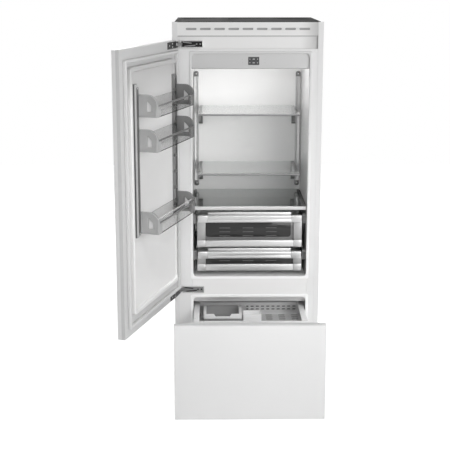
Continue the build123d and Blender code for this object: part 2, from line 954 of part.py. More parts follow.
# Base frame, kick plate and levelling feet
with BuildPart() as base_frame:
    block((-half_width, half_width), (toe_recess, body_depth), (base_clearance, base_top))
    block(
        (-half_width + pan_sheet, half_width - pan_sheet),
        (toe_recess, body_depth),
        (base_clearance + pan_sheet, base_top),
        mode=Mode.SUBTRACT,
    )
save(base_frame, "base_frame")

with BuildPart() as kick_plate:
    block((-half_width, half_width), (toe_recess - sheet, toe_recess), (base_clearance + kick_gap, base_top))
save(kick_plate, "kick_plate")

foot_y = (front_y + foot_front, front_y + body_depth - foot_back_inset)
foot_x = half_width - foot_side_inset
with BuildPart() as levelling_feet:
    for corner in [(side * foot_x, y) for side in (-1, 1) for y in foot_y]:
        with BuildSketch(Plane.XY):
            with Locations(corner):
                Circle(foot_pad_radius)
        extrude(amount=foot_pad_height)
        with BuildSketch(Plane.XY.offset(foot_pad_height)):
            with Locations(corner):
                Circle(foot_stem_radius)
        extrude(amount=base_clearance - foot_pad_height)
save(levelling_feet, "levelling_feet")

# Compressor on the base pan
pan_top = base_clearance + pan_sheet
compressor_y = body_depth - compressor_back_inset
with BuildPart() as compressor:
    with BuildSketch(Plane.XY.offset(pan_top + compressor_foot)):
        with Locations((compressor_x, front_y + compressor_y)):
            Circle(compressor_radius)
    extrude(amount=compressor_height)
    fillet(compressor.edges().sort_by(Axis.Z)[-1], compressor_round)
    block(
        (compressor_x - compressor_foot_width / 2, compressor_x + compressor_foot_width / 2),
        (compressor_y - compressor_foot_depth / 2, compressor_y + compressor_foot_depth / 2),
        (pan_top, pan_top + compressor_foot),
    )
save(compressor, "compressor")


def finned_coil(x, depth, z):
    """A heat exchanger block whose front is grooved into upright fins."""
    width = x[1] - x[0]
    with BuildPart() as coil:
        block(x, depth, z)
        with BuildSketch(Plane.XZ.offset(-(front_y + depth[0]))):
            with Locations(((x[0] + x[1]) / 2, (z[0] + z[1]) / 2)):
                with GridLocations(fin_pitch, 0, int(width / fin_pitch) - 1, 1):
                    Rectangle(fin_groove, z[1] - z[0])
        extrude(amount=-fin_groove_depth, mode=Mode.SUBTRACT)
    return coil


condenser = finned_coil(
    (-condenser_width / 2, condenser_width / 2),
    (condenser_front, condenser_front + condenser_depth),
    (roof_top_z, roof_top_z + condenser_height),
)
save(condenser, "condenser")

evaporator = finned_coil(
    (interior_offset - evaporator_width / 2, interior_offset + evaporator_width / 2),
    (fridge_back - evaporator_depth, fridge_back),
    (freezer_floor_z + evaporator_lift, freezer_floor_z + evaporator_lift + evaporator_height),
)
save(evaporator, "evaporator")

# Evaporator cover, fan and motor at the back of the freezer
cover_rear = cover_face + evaporator_cover_wall
with BuildPart() as evaporator_cover:
    block(
        (left_x + evaporator_cover_fit, right_x - evaporator_cover_fit),
        (cover_face, cover_rear),
        (freezer_floor_z, freezer_top_z - evaporator_cover_fit),
    )
    with BuildSketch(Plane.XZ.offset(-(front_y + cover_face))):
        with Locations((interior_offset, freezer_top_z - outlet_drop)):
            with GridLocations(outlet_pitch, 0, outlet_count, 1):
                SlotOverall(outlet_width, outlet_height)
    extrude(amount=-evaporator_cover_wall, mode=Mode.SUBTRACT)
save(evaporator_cover, "evaporator_cover")

fan_plane = Plane(
    origin=(interior_offset, front_y + cover_rear + fan_gap, freezer_top_z - fan_drop),
    x_dir=(1, 0, 0),
    z_dir=(0, 1, 0),
)
blade_span = fan_radius - fan_hub_radius / 2
blade_middle = (fan_radius + fan_hub_radius / 2) / 2
with BuildPart(fan_plane) as evaporator_fan:
    with Locations((0, 0, fan_hub_length / 2)):
        Cylinder(fan_hub_radius, fan_hub_length)
        with PolarLocations(blade_middle, fan_blade_count):
            Box(blade_span, fan_blade_thickness, fan_blade_chord, rotation=(fan_blade_pitch, 0, 0))
        Cylinder(fan_shaft_radius + fan_shaft_fit, fan_hub_length, mode=Mode.SUBTRACT)
save(evaporator_fan, "evaporator_fan")

motor_length = evaporator_cover_setback - evaporator_cover_wall - 2 * fan_gap - fan_hub_length
with BuildPart() as fan_motor:
    with BuildSketch(fan_plane):
        Circle(fan_shaft_radius)
    extrude(amount=fan_hub_length + fan_gap)
    with BuildSketch(fan_plane.offset(fan_hub_length + fan_gap)):
        Circle(motor_radius)
    extrude(amount=motor_length)
save(fan_motor, "fan_motor")
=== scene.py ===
"""Finishes, small fittings and a studio for a built-in refrigerator with a bottom freezer drawer."""

import json
import math
from contextlib import contextmanager

import bmesh
import bpy
from bpy.props import FloatProperty, FloatVectorProperty, IntProperty, PointerProperty
from mathutils import Matrix, Vector


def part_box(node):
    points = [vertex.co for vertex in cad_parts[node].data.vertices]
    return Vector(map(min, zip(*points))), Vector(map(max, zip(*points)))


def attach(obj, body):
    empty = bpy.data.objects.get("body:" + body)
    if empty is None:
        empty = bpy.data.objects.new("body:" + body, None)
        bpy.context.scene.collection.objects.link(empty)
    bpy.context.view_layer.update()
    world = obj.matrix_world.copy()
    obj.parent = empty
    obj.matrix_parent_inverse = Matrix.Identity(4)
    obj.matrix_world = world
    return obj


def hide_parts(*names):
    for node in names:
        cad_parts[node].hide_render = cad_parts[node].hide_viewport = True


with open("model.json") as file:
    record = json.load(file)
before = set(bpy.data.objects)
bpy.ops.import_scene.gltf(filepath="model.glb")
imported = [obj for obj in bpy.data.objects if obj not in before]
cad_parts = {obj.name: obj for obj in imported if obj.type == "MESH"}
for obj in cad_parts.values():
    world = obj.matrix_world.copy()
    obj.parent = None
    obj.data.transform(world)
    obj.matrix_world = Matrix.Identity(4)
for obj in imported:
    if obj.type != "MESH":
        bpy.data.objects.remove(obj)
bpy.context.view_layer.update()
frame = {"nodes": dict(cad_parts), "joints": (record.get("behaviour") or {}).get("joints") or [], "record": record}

bl_info = {
    "name": "Built-in Refrigerator",
    "version": (1, 0, 0),
    "blender": (4, 5, 0),
    "location": "3D View > Sidebar > Refrigerator",
    "description": "Finishes, fittings and studio for a built-in bottom-freezer refrigerator",
    "category": "Object",
}

X, Y, Z = range(3)
slot_of = {row["node"]: row["material_slot"] for row in frame["record"]["subparts"]}
hinge = next(joint for joint in frame["joints"] if joint["name"] == "door_swing")
hinge_level = hinge["pos_m"][Z]
door_pivot = Vector((*hinge["pos_m"][:Z], 0))
door_turn = Matrix.Rotation(math.radians(hinge["range_deg"][0]), 4, "Z")
OPEN_DOOR = Matrix.Translation(door_pivot) @ door_turn @ Matrix.Translation(-door_pivot)
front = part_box("side_trims")[0].y


def colour(name, level, description, warm=0.0):
    """A colour property, near grey, with an optional warm lean."""
    return hue(name, (level * (1 + warm), level, level * (1 - warm)), description)


def hue(name, value, description):
    """A colour property."""
    limits = {"min": 0, "max": 1}
    return FloatVectorProperty(name=name, description=description, default=value, subtype="COLOR", **limits)


def length(name, metres, description):
    """A size property in metres."""
    options = {"min": 0, "unit": "LENGTH", "precision": 4}
    return FloatProperty(name=name, description=description, default=metres, **options)


def count(name, number, description, least=1):
    """A property that counts like things."""
    return IntProperty(name=name, description=description, default=number, min=least)


def power(name, watts, description):
    """The power of a lamp."""
    return FloatProperty(name=name, description=description, default=watts, min=0, unit="POWER")


def angle(name, degrees, description):
    """An angle property, given in degrees."""
    return FloatProperty(name=name, description=description, default=math.radians(degrees), subtype="ANGLE")


def share(name, part, description):
    """A property for a part of one whole."""
    return FloatProperty(name=name, description=description, default=part, min=0, max=1, subtype="FACTOR")


class FridgeFinishes(bpy.types.PropertyGroup):
    """Colours of the refrigerator's surfaces."""

    cabinet: colour("Cabinet", 0.82, "Powder coat on the cabinet walls")
    trim: colour("Trim", 0.80, "Lacquer on the side trims")
    liner: colour("Liner", 0.87, "Lining of both compartments and the door, grille and hinge rail", 0.004)
    # Painted light: the lips are a brighter white than the lining they belong to, standing in for the light their
    # beads catch.
    lip: colour("Lips", 0.97, "Beads round both openings")
    panel: colour("Front panels", 0.82, "Lacquer on the door and drawer panels")
    core: colour("Panel core", 0.66, "Edges and backs of the door and drawer slabs")
    fascia: colour("Fascia", 0.52, "Satin control fascia")
    satin: colour("Satin trim", 0.57, "Satin crisper fronts and the trim of their cover")
    bin_cap: colour("Bin caps", 0.40, "End caps of the door bins")
    rail: colour("Rails", 0.50, "Shelf rails")
    rail_light: colour("Near rail", 0.5, "Bin rail by the free edge of the door")
    # On the far bin rail this dark trim is painted shade: that rail is the same part as the lighter near rail.
    trim_dark: colour("Dark trim", 0.24, "Shelf trims, hinge arms, niche brackets and the far bin rail")
    # Painted shade: the far caps are the same part as the near caps, coloured much darker for the shade on the
    # hinge side.
    cap_painted_shade: colour("Far bin caps", 0.17, "End caps of the door bins beside the hinge")
    pane: colour("Cap panes", 0.72, "Milky panes in the bins' end caps")
    block: colour("Runner blocks", 0.24, "Blocks beside the crispers")
    # Painted shade: the ice bin is white plastic; its trough and shelf are greyed for the shade inside it.
    ice: colour("Ice bin inside", 0.3, "Trough of the ice bin")
    # Partly painted shade: the posts lie a little behind the frame, and their darker tone stands in for the shade
    # of that recess.
    post: colour("Crisper posts", 0.38, "Posts of the crisper fronts")
    copper: hue("Copper", (0.62, 0.3, 0.18), "Pipes of the compressor")
    chrome: colour("Chrome", 0.9, "Guard wire of the lowest bin")
    glass: hue("Glass", (0.93, 0.95, 0.94), "Glass shelves and crisper cover")
    plastic: colour("Clear plastic", 0.93, "Door bins and crisper boxes")
    display: hue("Display", (0.045, 0.047, 0.05), "Black glass of the display")
    lens: hue("Lamp lens", (0.85, 0.87, 0.9), "Milky lens of the lamp between its ribs")
    # Painted shade: the freezer tray's floor and walls are greyer than its white rim, for the shade inside the
    # freezer.
    tray_inner_painted_shade: colour("Tray inside", 0.62, "Floor and walls of the freezer tray")
    mark: colour("Display marks", 0.42, "Marks on the display")
    # Painted shade: the plate's grey stands in for the shade inside the grille's slots, and the seam strip is a
    # painted shadow under the grille.
    slot: colour("Grille backing", 0.40, "Plate behind the grille's slots and the seam under it")
    dark_sheet: colour("Dark sheet", 0.035, "Top cover and base sheet metal")
    tray: colour("Freezer tray", 0.86, "Rims of the freezer tray, basket and storage box")
    steel: colour("Steel", 0.58, "Hinge boxes, screws and slides")
    black: colour("Black", 0.015, "Hinge plates, feet and compressor")
    gasket: colour("Gasket", 0.70, "Vinyl door and drawer seals")
    runner: colour("Runners", 0.17, "Crisper supports and runners")
    # Painted shade and light: the crisper panes are opaque; their dark field stands in for the shaded inside of
    # the crisper, and on the upper crisper the lighter border left under it stands in for its lit floor.
    smoked: colour("Smoked window", 0.03, "Smoked crisper windows")
    smoked_edge: colour("Smoked edge", 0.17, "Lighter borders and louvres of the crisper windows")


class FridgeFittings(bpy.types.PropertyGroup):
    """Sizes of the modelled fittings."""

    fine_round: length("Fine rounding", 0.0012, "Rounding of small moulded edges")
    screw_radius: length("Screw radius", 0.0042, "Radius of a screw head")
    screw_height: length("Screw height", 0.0022, "Height of a screw head")
    lining_border: length("Lining border", 0.022, "Width of the raised border of the door lining")
    lining_corner: length("Lining corner", 0.018, "Corner rounding of the door lining")
    lining_round: length("Lining rounding", 0.004, "Edge rounding of the door lining")
    pan_depth: length("Pan depth", 0.012, "Depth of the pan in the door lining")
    door_rail_width: length("Door rail width", 0.028, "Width of the door rails")
    door_rail_wall: length("Door rail wall", 0.005, "Width of a door rail's raised edges")
    near_rail_proud: length("Near rail proud", 0.005, "How much further the near rail stands out")
    door_rail_groove: length("Door rail groove", 0.006, "Depth of a door rail's groove")
    door_rail_round: length("Door rail end", 0.014, "Rounding of a door rail's ends")
    door_rail_slots: count("Door rail slots", 8, "Hanging slots in the far door rail")
    door_rail_pitch: length("Door rail pitch", 0.083, "Distance between hanging slots")
    slot_width: length("Slot width", 0.005, "Width of a hanging slot")
    slot_height: length("Slot height", 0.018, "Height of a hanging slot")
    rail_screw_inset: length("Rail screw inset", 0.02, "Distance of a rail's screws from its ends")
    bin_wall_height: length("Bin front height", 0.054, "Height of a bin's front wall")
    rim_thickness: length("Bin rim", 0.0055, "Thickness of the strip on a bin's front wall")
    wire_bend: length("Wire bend", 0.016, "Bend radius of the bin wire")
    cap_thickness: length("Cap thickness", 0.018, "Thickness of a bin's end cap")
    cap_height: length("Cap height", 0.103, "Height of a bin's end cap")
    cap_round: length("Cap rounding", 0.05, "Rounding of a cap's upper front corner")
    cap_border: length("Cap border", 0.006, "Width of a cap's raised border")
    cap_sink: length("Cap sink", 0.0025, "Depth of a cap's face inside its border")
    cap_wrap: length("Cap wrap", 0.05, "How far a cap reaches round the bin's front")
    window_back: length("Cap window start", 0.042, "Start of a cap's window behind its back edge")
    window_front: length("Cap window end", 0.066, "End of a cap's window behind its back edge")
    bracket_length: length("Hinge box length", 0.115, "Length of a hinge box")
    bracket_height: length("Hinge box height", 0.036, "Height of a hinge box")
    bracket_proud: length("Hinge box proud", 0.010, "How far a hinge box stands out of the cabinet front")
    bracket_wall: length("Hinge box wall", 0.003, "Wall of a hinge box")
    bracket_sink: length("Hinge box depth", 0.010, "Depth of the hollow in a hinge box")
    plate_height: length("Hinge plate height", 0.034, "Height of a hinge plate on the door")
    arm_width: length("Hinge arm width", 0.012, "Width of a hinge arm")
    arm_thickness: length("Hinge arm thickness", 0.016, "Thickness of a hinge arm")
    boss_radius: length("Hinge boss", 0.009, "Radius of the round end of a hinge arm")
    pin_bore: length("Pin bore", 0.00405, "Radius of the hole for a hinge pin")


class FridgeCrispers(bpy.types.PropertyGroup):
    """Sizes of the crisper fronts and the runner blocks beside them."""

    post: length("Post", 0.044, "Width of the posts")
    post_sink: length("Post sink", 0.0012, "How far the posts lie behind the rails")
    post_lap: length("Post lap", 0.006, "How far the posts reach up behind the handle")
    rail: length("Rail", 0.037, "Height of the lower rail")
    rail_round: length("Rail rounding", 0.005, "Rounding of the lower rail")
    rail_sink: length("Rail sink", 0.0004, "How far the lower rail lies behind its feet")
    rim: length("Rim", 0.014, "Height of the rim above the handle")
    rim_sink: length("Rim sink", 0.005, "How far the rim lies behind the posts")
    rim_round: length("Rim rounding", 0.004, "Rounding of the rim")
    rim_inset: length("Rim inset", 0.002, "Gap between the rim and the handle's ends")
    joint: length("Joint", 0.0006, "Gap between neighbouring pieces of a front")
    edge: length("Edge", 0.0008, "Edge rounding of the pieces, and how far the handle's ends stand proud")
    handle_proud: length("Handle proud", 0.013, "How far the handle stands out")
    handle_height: length("Handle height", 0.038, "Height of the handle")
    handle_wall: length("Handle wall", 0.0065, "Wall of the handle, and the rounding of its ends")
    handle_round: length("Handle rounding", 0.006, "Rounding of the handle")
    hollow_height: length("Handle hollow", 0.007, "Height of the hollow under the handle")
    cap: length("Handle end", 0.056, "Length of a handle's end cap with its inset")
    cap_inset: length("Handle end inset", 0.003, "Distance of a handle's end cap from the side")
    cap_setback: length("Handle end setback", 0.002, "Distance of a handle's end cap from the back")
    groove_level: length("Groove level", 0.0145, "Level of the groove over the handle's foot")
    groove_height: length("Groove height", 0.0017, "Height of the groove along the handle")
    groove_depth: length("Groove depth", 0.0014, "Depth of the groove along the handle")
    pane_round: length("Pane rounding", 0.0005, "Edge rounding of the smoked pane")
    # The dark field and its lighter border are painted shade and light of the crisper's inside.
    field_border: length("Field border", 0.017, "Lighter border under the upper pane's dark field")
    field_inset: length("Field inset", 0.001, "Distance of the dark field from the pane's sides")
    field_edge: length("Field edge", 0.0004, "Edge rounding of the dark field")
    field_round: length("Field rounding", 0.014, "Lower corner rounding of the dark field")
    field_proud: length("Field proud", 0.0012, "How far the dark field stands out of its pane")
    louvre_length: length("Louvre length", 0.058, "Length of a moulded louvre")
    louvre_height: length("Louvre height", 0.0022, "Height of a louvre, and how far it stands out")
    louvre_round: length("Louvre rounding", 0.001, "Rounding of a louvre's ends")
    louvre_pitch: length("Louvre pitch", 0.125, "Distance between columns of louvres")
    louvre_step: length("Louvre step", 0.0215, "Distance between rows of louvres")
    louvre_drop: length("Louvre drop", 0.036, "Distance of the upper pane's first louvres from its top")
    louvre_rise: length("Louvre rise", 0.016, "Distance of the lower pane's louvres from its foot")
    louvre_shift: length("Louvre shift", 0.008, "How far the louvres lie left of the pane's middle")
    runner_gap: length("Runner gap", 0.004, "Gap between a runner block and a crisper's front")
    runner_height: length("Runner height", 0.055, "Height of a runner block")
    runner_depth: length("Runner depth", 0.03, "Depth of a runner block")
    runner_round: length("Runner rounding", 0.0008, "Edge rounding of a runner block")


class FridgeInterior(bpy.types.PropertyGroup):
    """Sizes of the fittings inside both compartments."""

    shelf_glass: length("Shelf glass", 0.005, "Thickness of the glass shelves")
    trim_depth: length("Shelf trim depth", 0.006, "Depth of a shelf's front trim")
    trim_height: length("Shelf trim height", 0.010, "Height of a shelf's front trim")
    trim_lip: length("Trim lip", 0.0008, "How far a trim stands over its glass")
    head_width: length("Bracket head width", 0.022, "Width of a shelf bracket's head")
    head_height: length("Bracket head height", 0.098, "Height of a shelf bracket's head")
    head_depth: length("Bracket head depth", 0.02, "Depth of a shelf bracket's head")
    rail_width: length("Shelf rail width", 0.027, "Width of the rear shelf rails")
    rail_end: length("Shelf rail end", 0.03, "Length of the dark ends of the shelf rails")
    slot_width: length("Shelf slot width", 0.005, "Width of a slot in a shelf rail")
    slot_height: length("Shelf slot height", 0.014, "Height of a slot in a shelf rail")
    slot_pitch: length("Shelf slot pitch", 0.032, "Distance between slots in a shelf rail")
    slot_count: count("Shelf slots", 17, "Slots in each shelf rail")
    lip_width: length("Lip width", 0.008, "Width of the lip round an opening")
    lip_lap: length("Lip lap", 0.006, "How far a lip laps over the lining")
    lip_proud: length("Lip proud", 0.0003, "How far a lip stands out of the cabinet's front")
    lip_depth: length("Lip depth", 0.014, "Depth of a lip")
    lip_corner: length("Lip corner", 0.02, "Inner corner rounding of a lip")
    lip_round: length("Lip rounding", 0.0035, "Edge rounding of a lip")
    seam_height: length("Seam height", 0.0045, "Height of the seam under the grille")
    bevel_rise: length("Bevel rise", 0.039, "Rise of the bevel over the freezer opening")
    backing_gap: length("Grille backing", 0.002, "Distance of the plate behind the grille")
    bezel_width: length("Bezel", 0.0012, "Width of the display's bezel")
    dot_radius: length("Key dot", 0.0016, "Radius of the dots beside the display")
    tray_wall: length("Tray wall", 0.004, "Wall of the freezer tray")
    tray_side: length("Tray side", 0.008, "Space for the slides beside the freezer tray")
    rim_height: length("Tray rim height", 0.02, "Height of the rim on the tray's front")
    rim_rise: length("Tray rim rise", 0.006, "How far the rim stands over the tray's front")
    side_lip: length("Side lip", 0.03, "Width of the lips along the tray's sides")
    screw_setback: length("Tray screw setback", 0.06, "Distance of the tray's screws behind its front")
    strip_columns: count("Strip columns", 3, "Columns of grip strips on the tray")
    strip_rows: count("Strip rows", 4, "Rows of grip strips on the tray")
    strip_pitch: length("Strip pitch", 0.07, "Distance between columns of grip strips")
    strip_row_pitch: length("Strip row pitch", 0.033, "Distance between rows of grip strips")
    strip_margin: length("Strip margin", 0.11, "Distance of the middle column from the tray's right wall")
    strip_length: length("Strip length", 0.036, "Length of a grip strip")
    strip_width: length("Strip width", 0.012, "Width of a grip strip")
    ice_band: length("Ice bin band", 0.026, "Height of the white band on the ice bin's front")
    ice_setback: length("Ice bin setback", 0.15, "Distance of the ice bin's wall behind its shelf's front")
    notch_width: length("Notch width", 0.1, "Width of the notch in the ice bin's wall")
    notch_drop: length("Notch drop", 0.014, "Depth of the notch in the ice bin's wall")
    notch_taper: share("Notch taper", 0.78, "Share of the notch's width at its foot")
    storage_length: length("Storage length", 0.07, "Length of the storage box")


class FridgeShell(bpy.types.PropertyGroup):
    """Sizes of the outer sheets, the niche brackets, the feet and the base."""

    sheet_border: length("Sheet border", 0.028, "Width of the flat border of a pressed sheet")
    press_depth: length("Press depth", 0.004, "Depth of the field pressed into the back sheet")
    rib_count: count("Ribs", 4, "Stiffening ribs on the back sheet")
    rib_width: length("Rib width", 0.03, "Width of a stiffening rib")
    screw_rows: count("Screw rows", 9, "Screws along each side of the back", least=2)
    cover_width: length("Service cover width", 0.42, "Width of the louvred cover on the back")
    cover_height: length("Service cover height", 0.19, "Height of the louvred cover on the back")
    louvre_columns: count("Louvre columns", 4, "Columns of louvres in the cover")
    louvre_rows: count("Louvre rows", 7, "Rows of louvres in the cover")
    louvre_length: length("Louvre length", 0.055, "Length of a louvre")
    louvre_height: length("Louvre height", 0.007, "Height of a louvre")
    field_count: count("Top fields", 3, "Fields pressed into the top sheet")
    hem_width: length("Hem width", 0.016, "Width of a folded hem")
    hem_thickness: length("Hem thickness", 0.001, "Thickness of a folded hem")
    bracket_count: count("Niche brackets", 3, "Brackets on each side")
    bracket_setback: length("Bracket setback", 0.03, "Distance of a bracket behind the cabinet's front")
    bracket_reach: length("Bracket reach", 0.06, "Length of a bracket along the side")
    bracket_tall: length("Bracket height", 0.05, "Height of a bracket")
    pad_radius: length("Pad radius", 0.022, "Radius of a foot's pad")
    pad_height: length("Pad height", 0.014, "Height of a foot's pad")
    stem_radius: length("Stem radius", 0.007, "Radius of a foot's stem")
    thread_pitch: length("Thread pitch", 0.003, "Distance between the threads of a foot")
    nut_radius: length("Nut radius", 0.0135, "Radius of a foot's nut over its corners")
    nut_height: length("Nut height", 0.009, "Height of a foot's nut")
    kick_columns: count("Kick louvres", 7, "Columns of louvres on the kick plate")
    pipe_radius: length("Pipe radius", 0.004, "Radius of the compressor's pipes")


class FridgeStudio(bpy.types.PropertyGroup):
    """Camera, lamps and floor."""

    camera_place: FloatVectorProperty(
        name="Camera", description="Camera position", default=(-0.186, -5.475, 2.324),
        subtype="XYZ", unit="LENGTH",
    )
    camera_pitch: angle("Pitch", -12.41, "Camera tilt from level")
    camera_yaw: angle("Yaw", 0.76, "Camera turn to the right")
    lens: FloatProperty(name="Lens", description="Focal length", default=80.45, min=10, unit="CAMERA")
    shift: FloatProperty(name="Shift", description="Vertical lens shift", default=-0.06)
    key_power: power("Key", 121, "Power of the front lamp")
    fill_power: power("Fill", 15, "Power of the left lamp")
    back_power: power("Back lamp", 95, "Power of the lamp behind the cabinet")
    top_power: power("Top", 1.9, "Power of the lamp over the drawer")
    lamp_power: power("Inner lamp", 1.35, "Power of the lamp in the fridge")
    top_spread: angle("Top spread", 50, "Spread of the lamp over the drawer")
    sky: FloatProperty(name="Sky", description="Strength of the room light", default=0.26, min=0)
    floor_size: length("Floor", 14, "Side of the floor")
    floor_glow: share("Floor whiteness", 0.92, "Share of plain white in the floor")


# Shader node helpers
GREY = (0.5, 0.5, 0.5, 1)
WHITE = (1, 1, 1, 1)
SOCKETS = {1: "NodeSocketFloat", 3: "NodeSocketVector", 4: "NodeSocketColor"}


def feed(tree, node, inputs):
    """Set or link a node's inputs by name or number."""
    for key, value in inputs.items():
        if isinstance(value, bpy.types.NodeSocket):
            tree.links.new(value, node.inputs[key])
        else:
            node.inputs[key].default_value = value
    return node.outputs


def add(tree, kind, inputs=None, **settings):
    """Add a node with its options and inputs; gives its outputs."""
    made = tree.nodes.new(kind)
    for key, value in settings.items():
        setattr(made, key, value)
    return feed(tree, made, inputs or {})


def sum_of(tree, operation, *values, clamp=False):
    """A Math node over sockets and numbers; gives its output."""
    return add(tree, "ShaderNodeMath", dict(enumerate(values)), operation=operation, use_clamp=clamp)[0]


def vectors(tree, operation, *values):
    """A Vector Math node over sockets and vectors; gives its outputs."""
    return add(tree, "ShaderNodeVectorMath", dict(enumerate(values)), operation=operation)


def object_place(tree):
    """The place of a point in its object."""
    return add(tree, "ShaderNodeTexCoord")["Object"]


def noise(tree, place, scale, detail, **more):
    """A noise pattern."""
    return add(tree, "ShaderNodeTexNoise", {"Vector": place, "Scale": scale, "Detail": detail, **more})[0]


def ramp(tree, value, start, end, **settings):
    """A value's way from a start to an end, from zero to one."""
    inputs = {"Value": value, "From Min": start, "From Max": end}
    return add(tree, "ShaderNodeMapRange", inputs, **settings)[0]


def mixed(tree, mask, base, over):
    """A colour with another laid over it by a mask."""
    return add(tree, "ShaderNodeMix", {0: mask, 6: base, 7: over}, data_type="RGBA")[2]


def swing(tree, middle, spread, pattern, clamp=False):
    """A value that moves with a pattern round its middle."""
    offset = sum_of(tree, "MULTIPLY", sum_of(tree, "SUBTRACT", pattern, 0.5), spread)
    return sum_of(tree, "ADD", offset, middle, clamp=clamp)


def open_group(name, inputs):
    """An empty shader group with named inputs; gives the group and the sockets inside it."""
    group = bpy.data.node_groups.new(name, "ShaderNodeTree")
    for label, value in inputs.items():
        kind = SOCKETS[len(value) if isinstance(value, tuple) else 1]
        group.interface.new_socket(name=label, in_out="INPUT", socket_type=kind).default_value = value
    return group, group.nodes.new("NodeGroupInput").outputs


def close_group(group, outputs):
    """Give a shader group its named outputs."""
    for label, value in outputs.items():
        kind = SOCKETS[4 if value.type == "RGBA" else 1]
        group.interface.new_socket(name=label, in_out="OUTPUT", socket_type=kind)
    feed(group, group.nodes.new("NodeGroupOutput"), outputs)
    return group


def close_surface(group, entry, tone, gloss, height):
    """Give a shader group a colour and a roughness that move with patterns, and a height."""
    value = swing(group, 1.0, entry["Tone Spread"], tone)
    base = add(group, "ShaderNodeHueSaturation", {"Color": entry["Colour"], "Value": value})[0]
    dull = swing(group, entry["Roughness"], entry["Gloss Spread"], gloss, clamp=True)
    return close_group(group, {"Colour": base, "Roughness": dull, "Height": height})


def moulded_skin():
    """Fine grain of lacquer, powder coat and moulded plastic, with soft clouds of tone and gloss."""
    spreads = {"Colour": GREY, "Tone Spread": 0.05, "Roughness": 0.4, "Gloss Spread": 0.1}
    group, entry = open_group("Moulded Skin", {**spreads, "Grain Scale": 900.0, "Cloud Scale": 4.0})
    place = object_place(group)
    cloud = noise(group, place, entry["Cloud Scale"], 5.0)
    streak = noise(group, place, sum_of(group, "MULTIPLY", entry["Cloud Scale"], 9.0), 3.0)
    return close_surface(group, entry, cloud, streak, noise(group, place, entry["Grain Scale"], 2.0))


def brushed_metal():
    """Long fine scratches along one direction, with slow tone changes across them."""
    spreads = {"Colour": GREY, "Tone Spread": 0.15, "Roughness": 0.35, "Gloss Spread": 0.2}
    group, entry = open_group("Brushed Metal", {**spreads, "Stretch": (4.0, 600.0, 600.0)})
    place = object_place(group)
    drawn = vectors(group, "MULTIPLY", place, entry["Stretch"])[0]
    lines = noise(group, drawn, 1.0, 6.0, Roughness=0.65)
    cloud = noise(group, place, 7.0, 3.0)
    parts = (sum_of(group, "MULTIPLY", pattern, part) for pattern, part in ((lines, 0.7), (cloud, 0.3)))
    both = sum_of(group, "ADD", *parts)
    return close_surface(group, entry, both, lines, lines)


def close_mask(group, entry, one, other):
    """Give a shader group a mask: two patterns and an amount, multiplied."""
    both = sum_of(group, "MULTIPLY", one, other)
    return close_group(group, {"Mask": sum_of(group, "MULTIPLY", both, entry["Amount"], clamp=True)})


def edge_rub():
    """A broken mask along sharp edges, where handling rubs a coating thin."""
    group, entry = open_group("Edge Rub", {"Reach": 0.002, "Amount": 0.5})
    rounded = add(group, "ShaderNodeBevel", {"Radius": entry["Reach"]}, samples=4)[0]
    plain = add(group, "ShaderNodeNewGeometry")["Normal"]
    along = vectors(group, "DOT_PRODUCT", rounded, plain)["Value"]
    edge = sum_of(group, "MULTIPLY", sum_of(group, "SUBTRACT", 1.0, along), 6.0, clamp=True)
    patchy = ramp(group, noise(group, object_place(group), 160.0, 4.0), 0.4, 0.6)
    return close_mask(group, entry, edge, patchy)


def settled_dust():
    """A thin uneven film on faces that look upwards."""
    group, entry = open_group("Settled Dust", {"Amount": 0.3, "Scale": 30.0})
    normal = add(group, "ShaderNodeNewGeometry")["Normal"]
    facing = ramp(group, add(group, "ShaderNodeSeparateXYZ", {0: normal})["Z"], 0.4, 0.95)
    return close_mask(group, entry, facing, noise(group, object_place(group), entry["Scale"], 6.0))


def painted_end_shade():
    """A mask that grows along a direction from one place to another, for painted shade."""
    group, entry = open_group("Painted End Shade", {"Direction": (1, 0, 0), "Start": 0.0, "End": 1.0})
    along = vectors(group, "DOT_PRODUCT", object_place(group), entry["Direction"])["Value"]
    mask = ramp(group, along, entry["Start"], entry["End"], interpolation_type="SMOOTHSTEP")
    return close_group(group, {"Mask": mask})


def wiped_smudge():
    """Faint wiping streaks that dull clear and glossy surfaces here and there."""
    group, entry = open_group("Wiped Smudge", {"Dull": 0.06, "Scale": 9.0})
    drawn = vectors(group, "MULTIPLY", object_place(group), (1.0, 2.2, 2.2))[0]
    film = noise(group, drawn, entry["Scale"], 6.0, Distortion=0.8)
    dull = sum_of(group, "MULTIPLY", ramp(group, film, 0.45, 0.8), entry["Dull"])
    return close_group(group, {"Roughness": dull, "Height": film})


DUST = (0.55, 0.53, 0.5, 1)
BARE_METAL = (0.8, 0.8, 0.8, 1)
COAT_ROUGHNESS = 0.12
FINE_RELIEF = 0.00001
RIGHT, INWARD, UP = Vector((1, 0, 0)), Vector((0, 1, 0)), Vector((0, 0, 1))
EFFECTS = {
    "skin": moulded_skin, "brushed": brushed_metal, "rub": edge_rub,
    "dust": settled_dust, "smudge": wiped_smudge, "shade": painted_end_shade,
}
effects = {}
finishes = {}


def place_group(tree, name, inputs):
    """Place a shared shader group; gives its outputs."""
    return add(tree, "ShaderNodeGroup", inputs, node_tree=effects[name])


def new_finish(name):
    """A material with a Principled shader; gives its node tree and that shader."""
    finishes[name] = bpy.data.materials.new(name)
    finishes[name].use_nodes = True
    tree = finishes[name].node_tree
    return tree, tree.nodes["Principled BSDF"]


def bump(tree, height, depth):
    """A normal from a height pattern, with its depth in metres."""
    return add(tree, "ShaderNodeBump", {"Strength": 1.0, "Distance": depth, "Height": height})[0]


def paint(tree, shader, base, surface, depth, more):
    """Feed a shader its colour, a surface's roughness and height, and what is the same all over."""
    feed(tree, shader, {"Base Color": base, "Roughness": surface["Roughness"], **more})
    feed(tree, shader, {"Normal": bump(tree, surface["Height"], depth)})


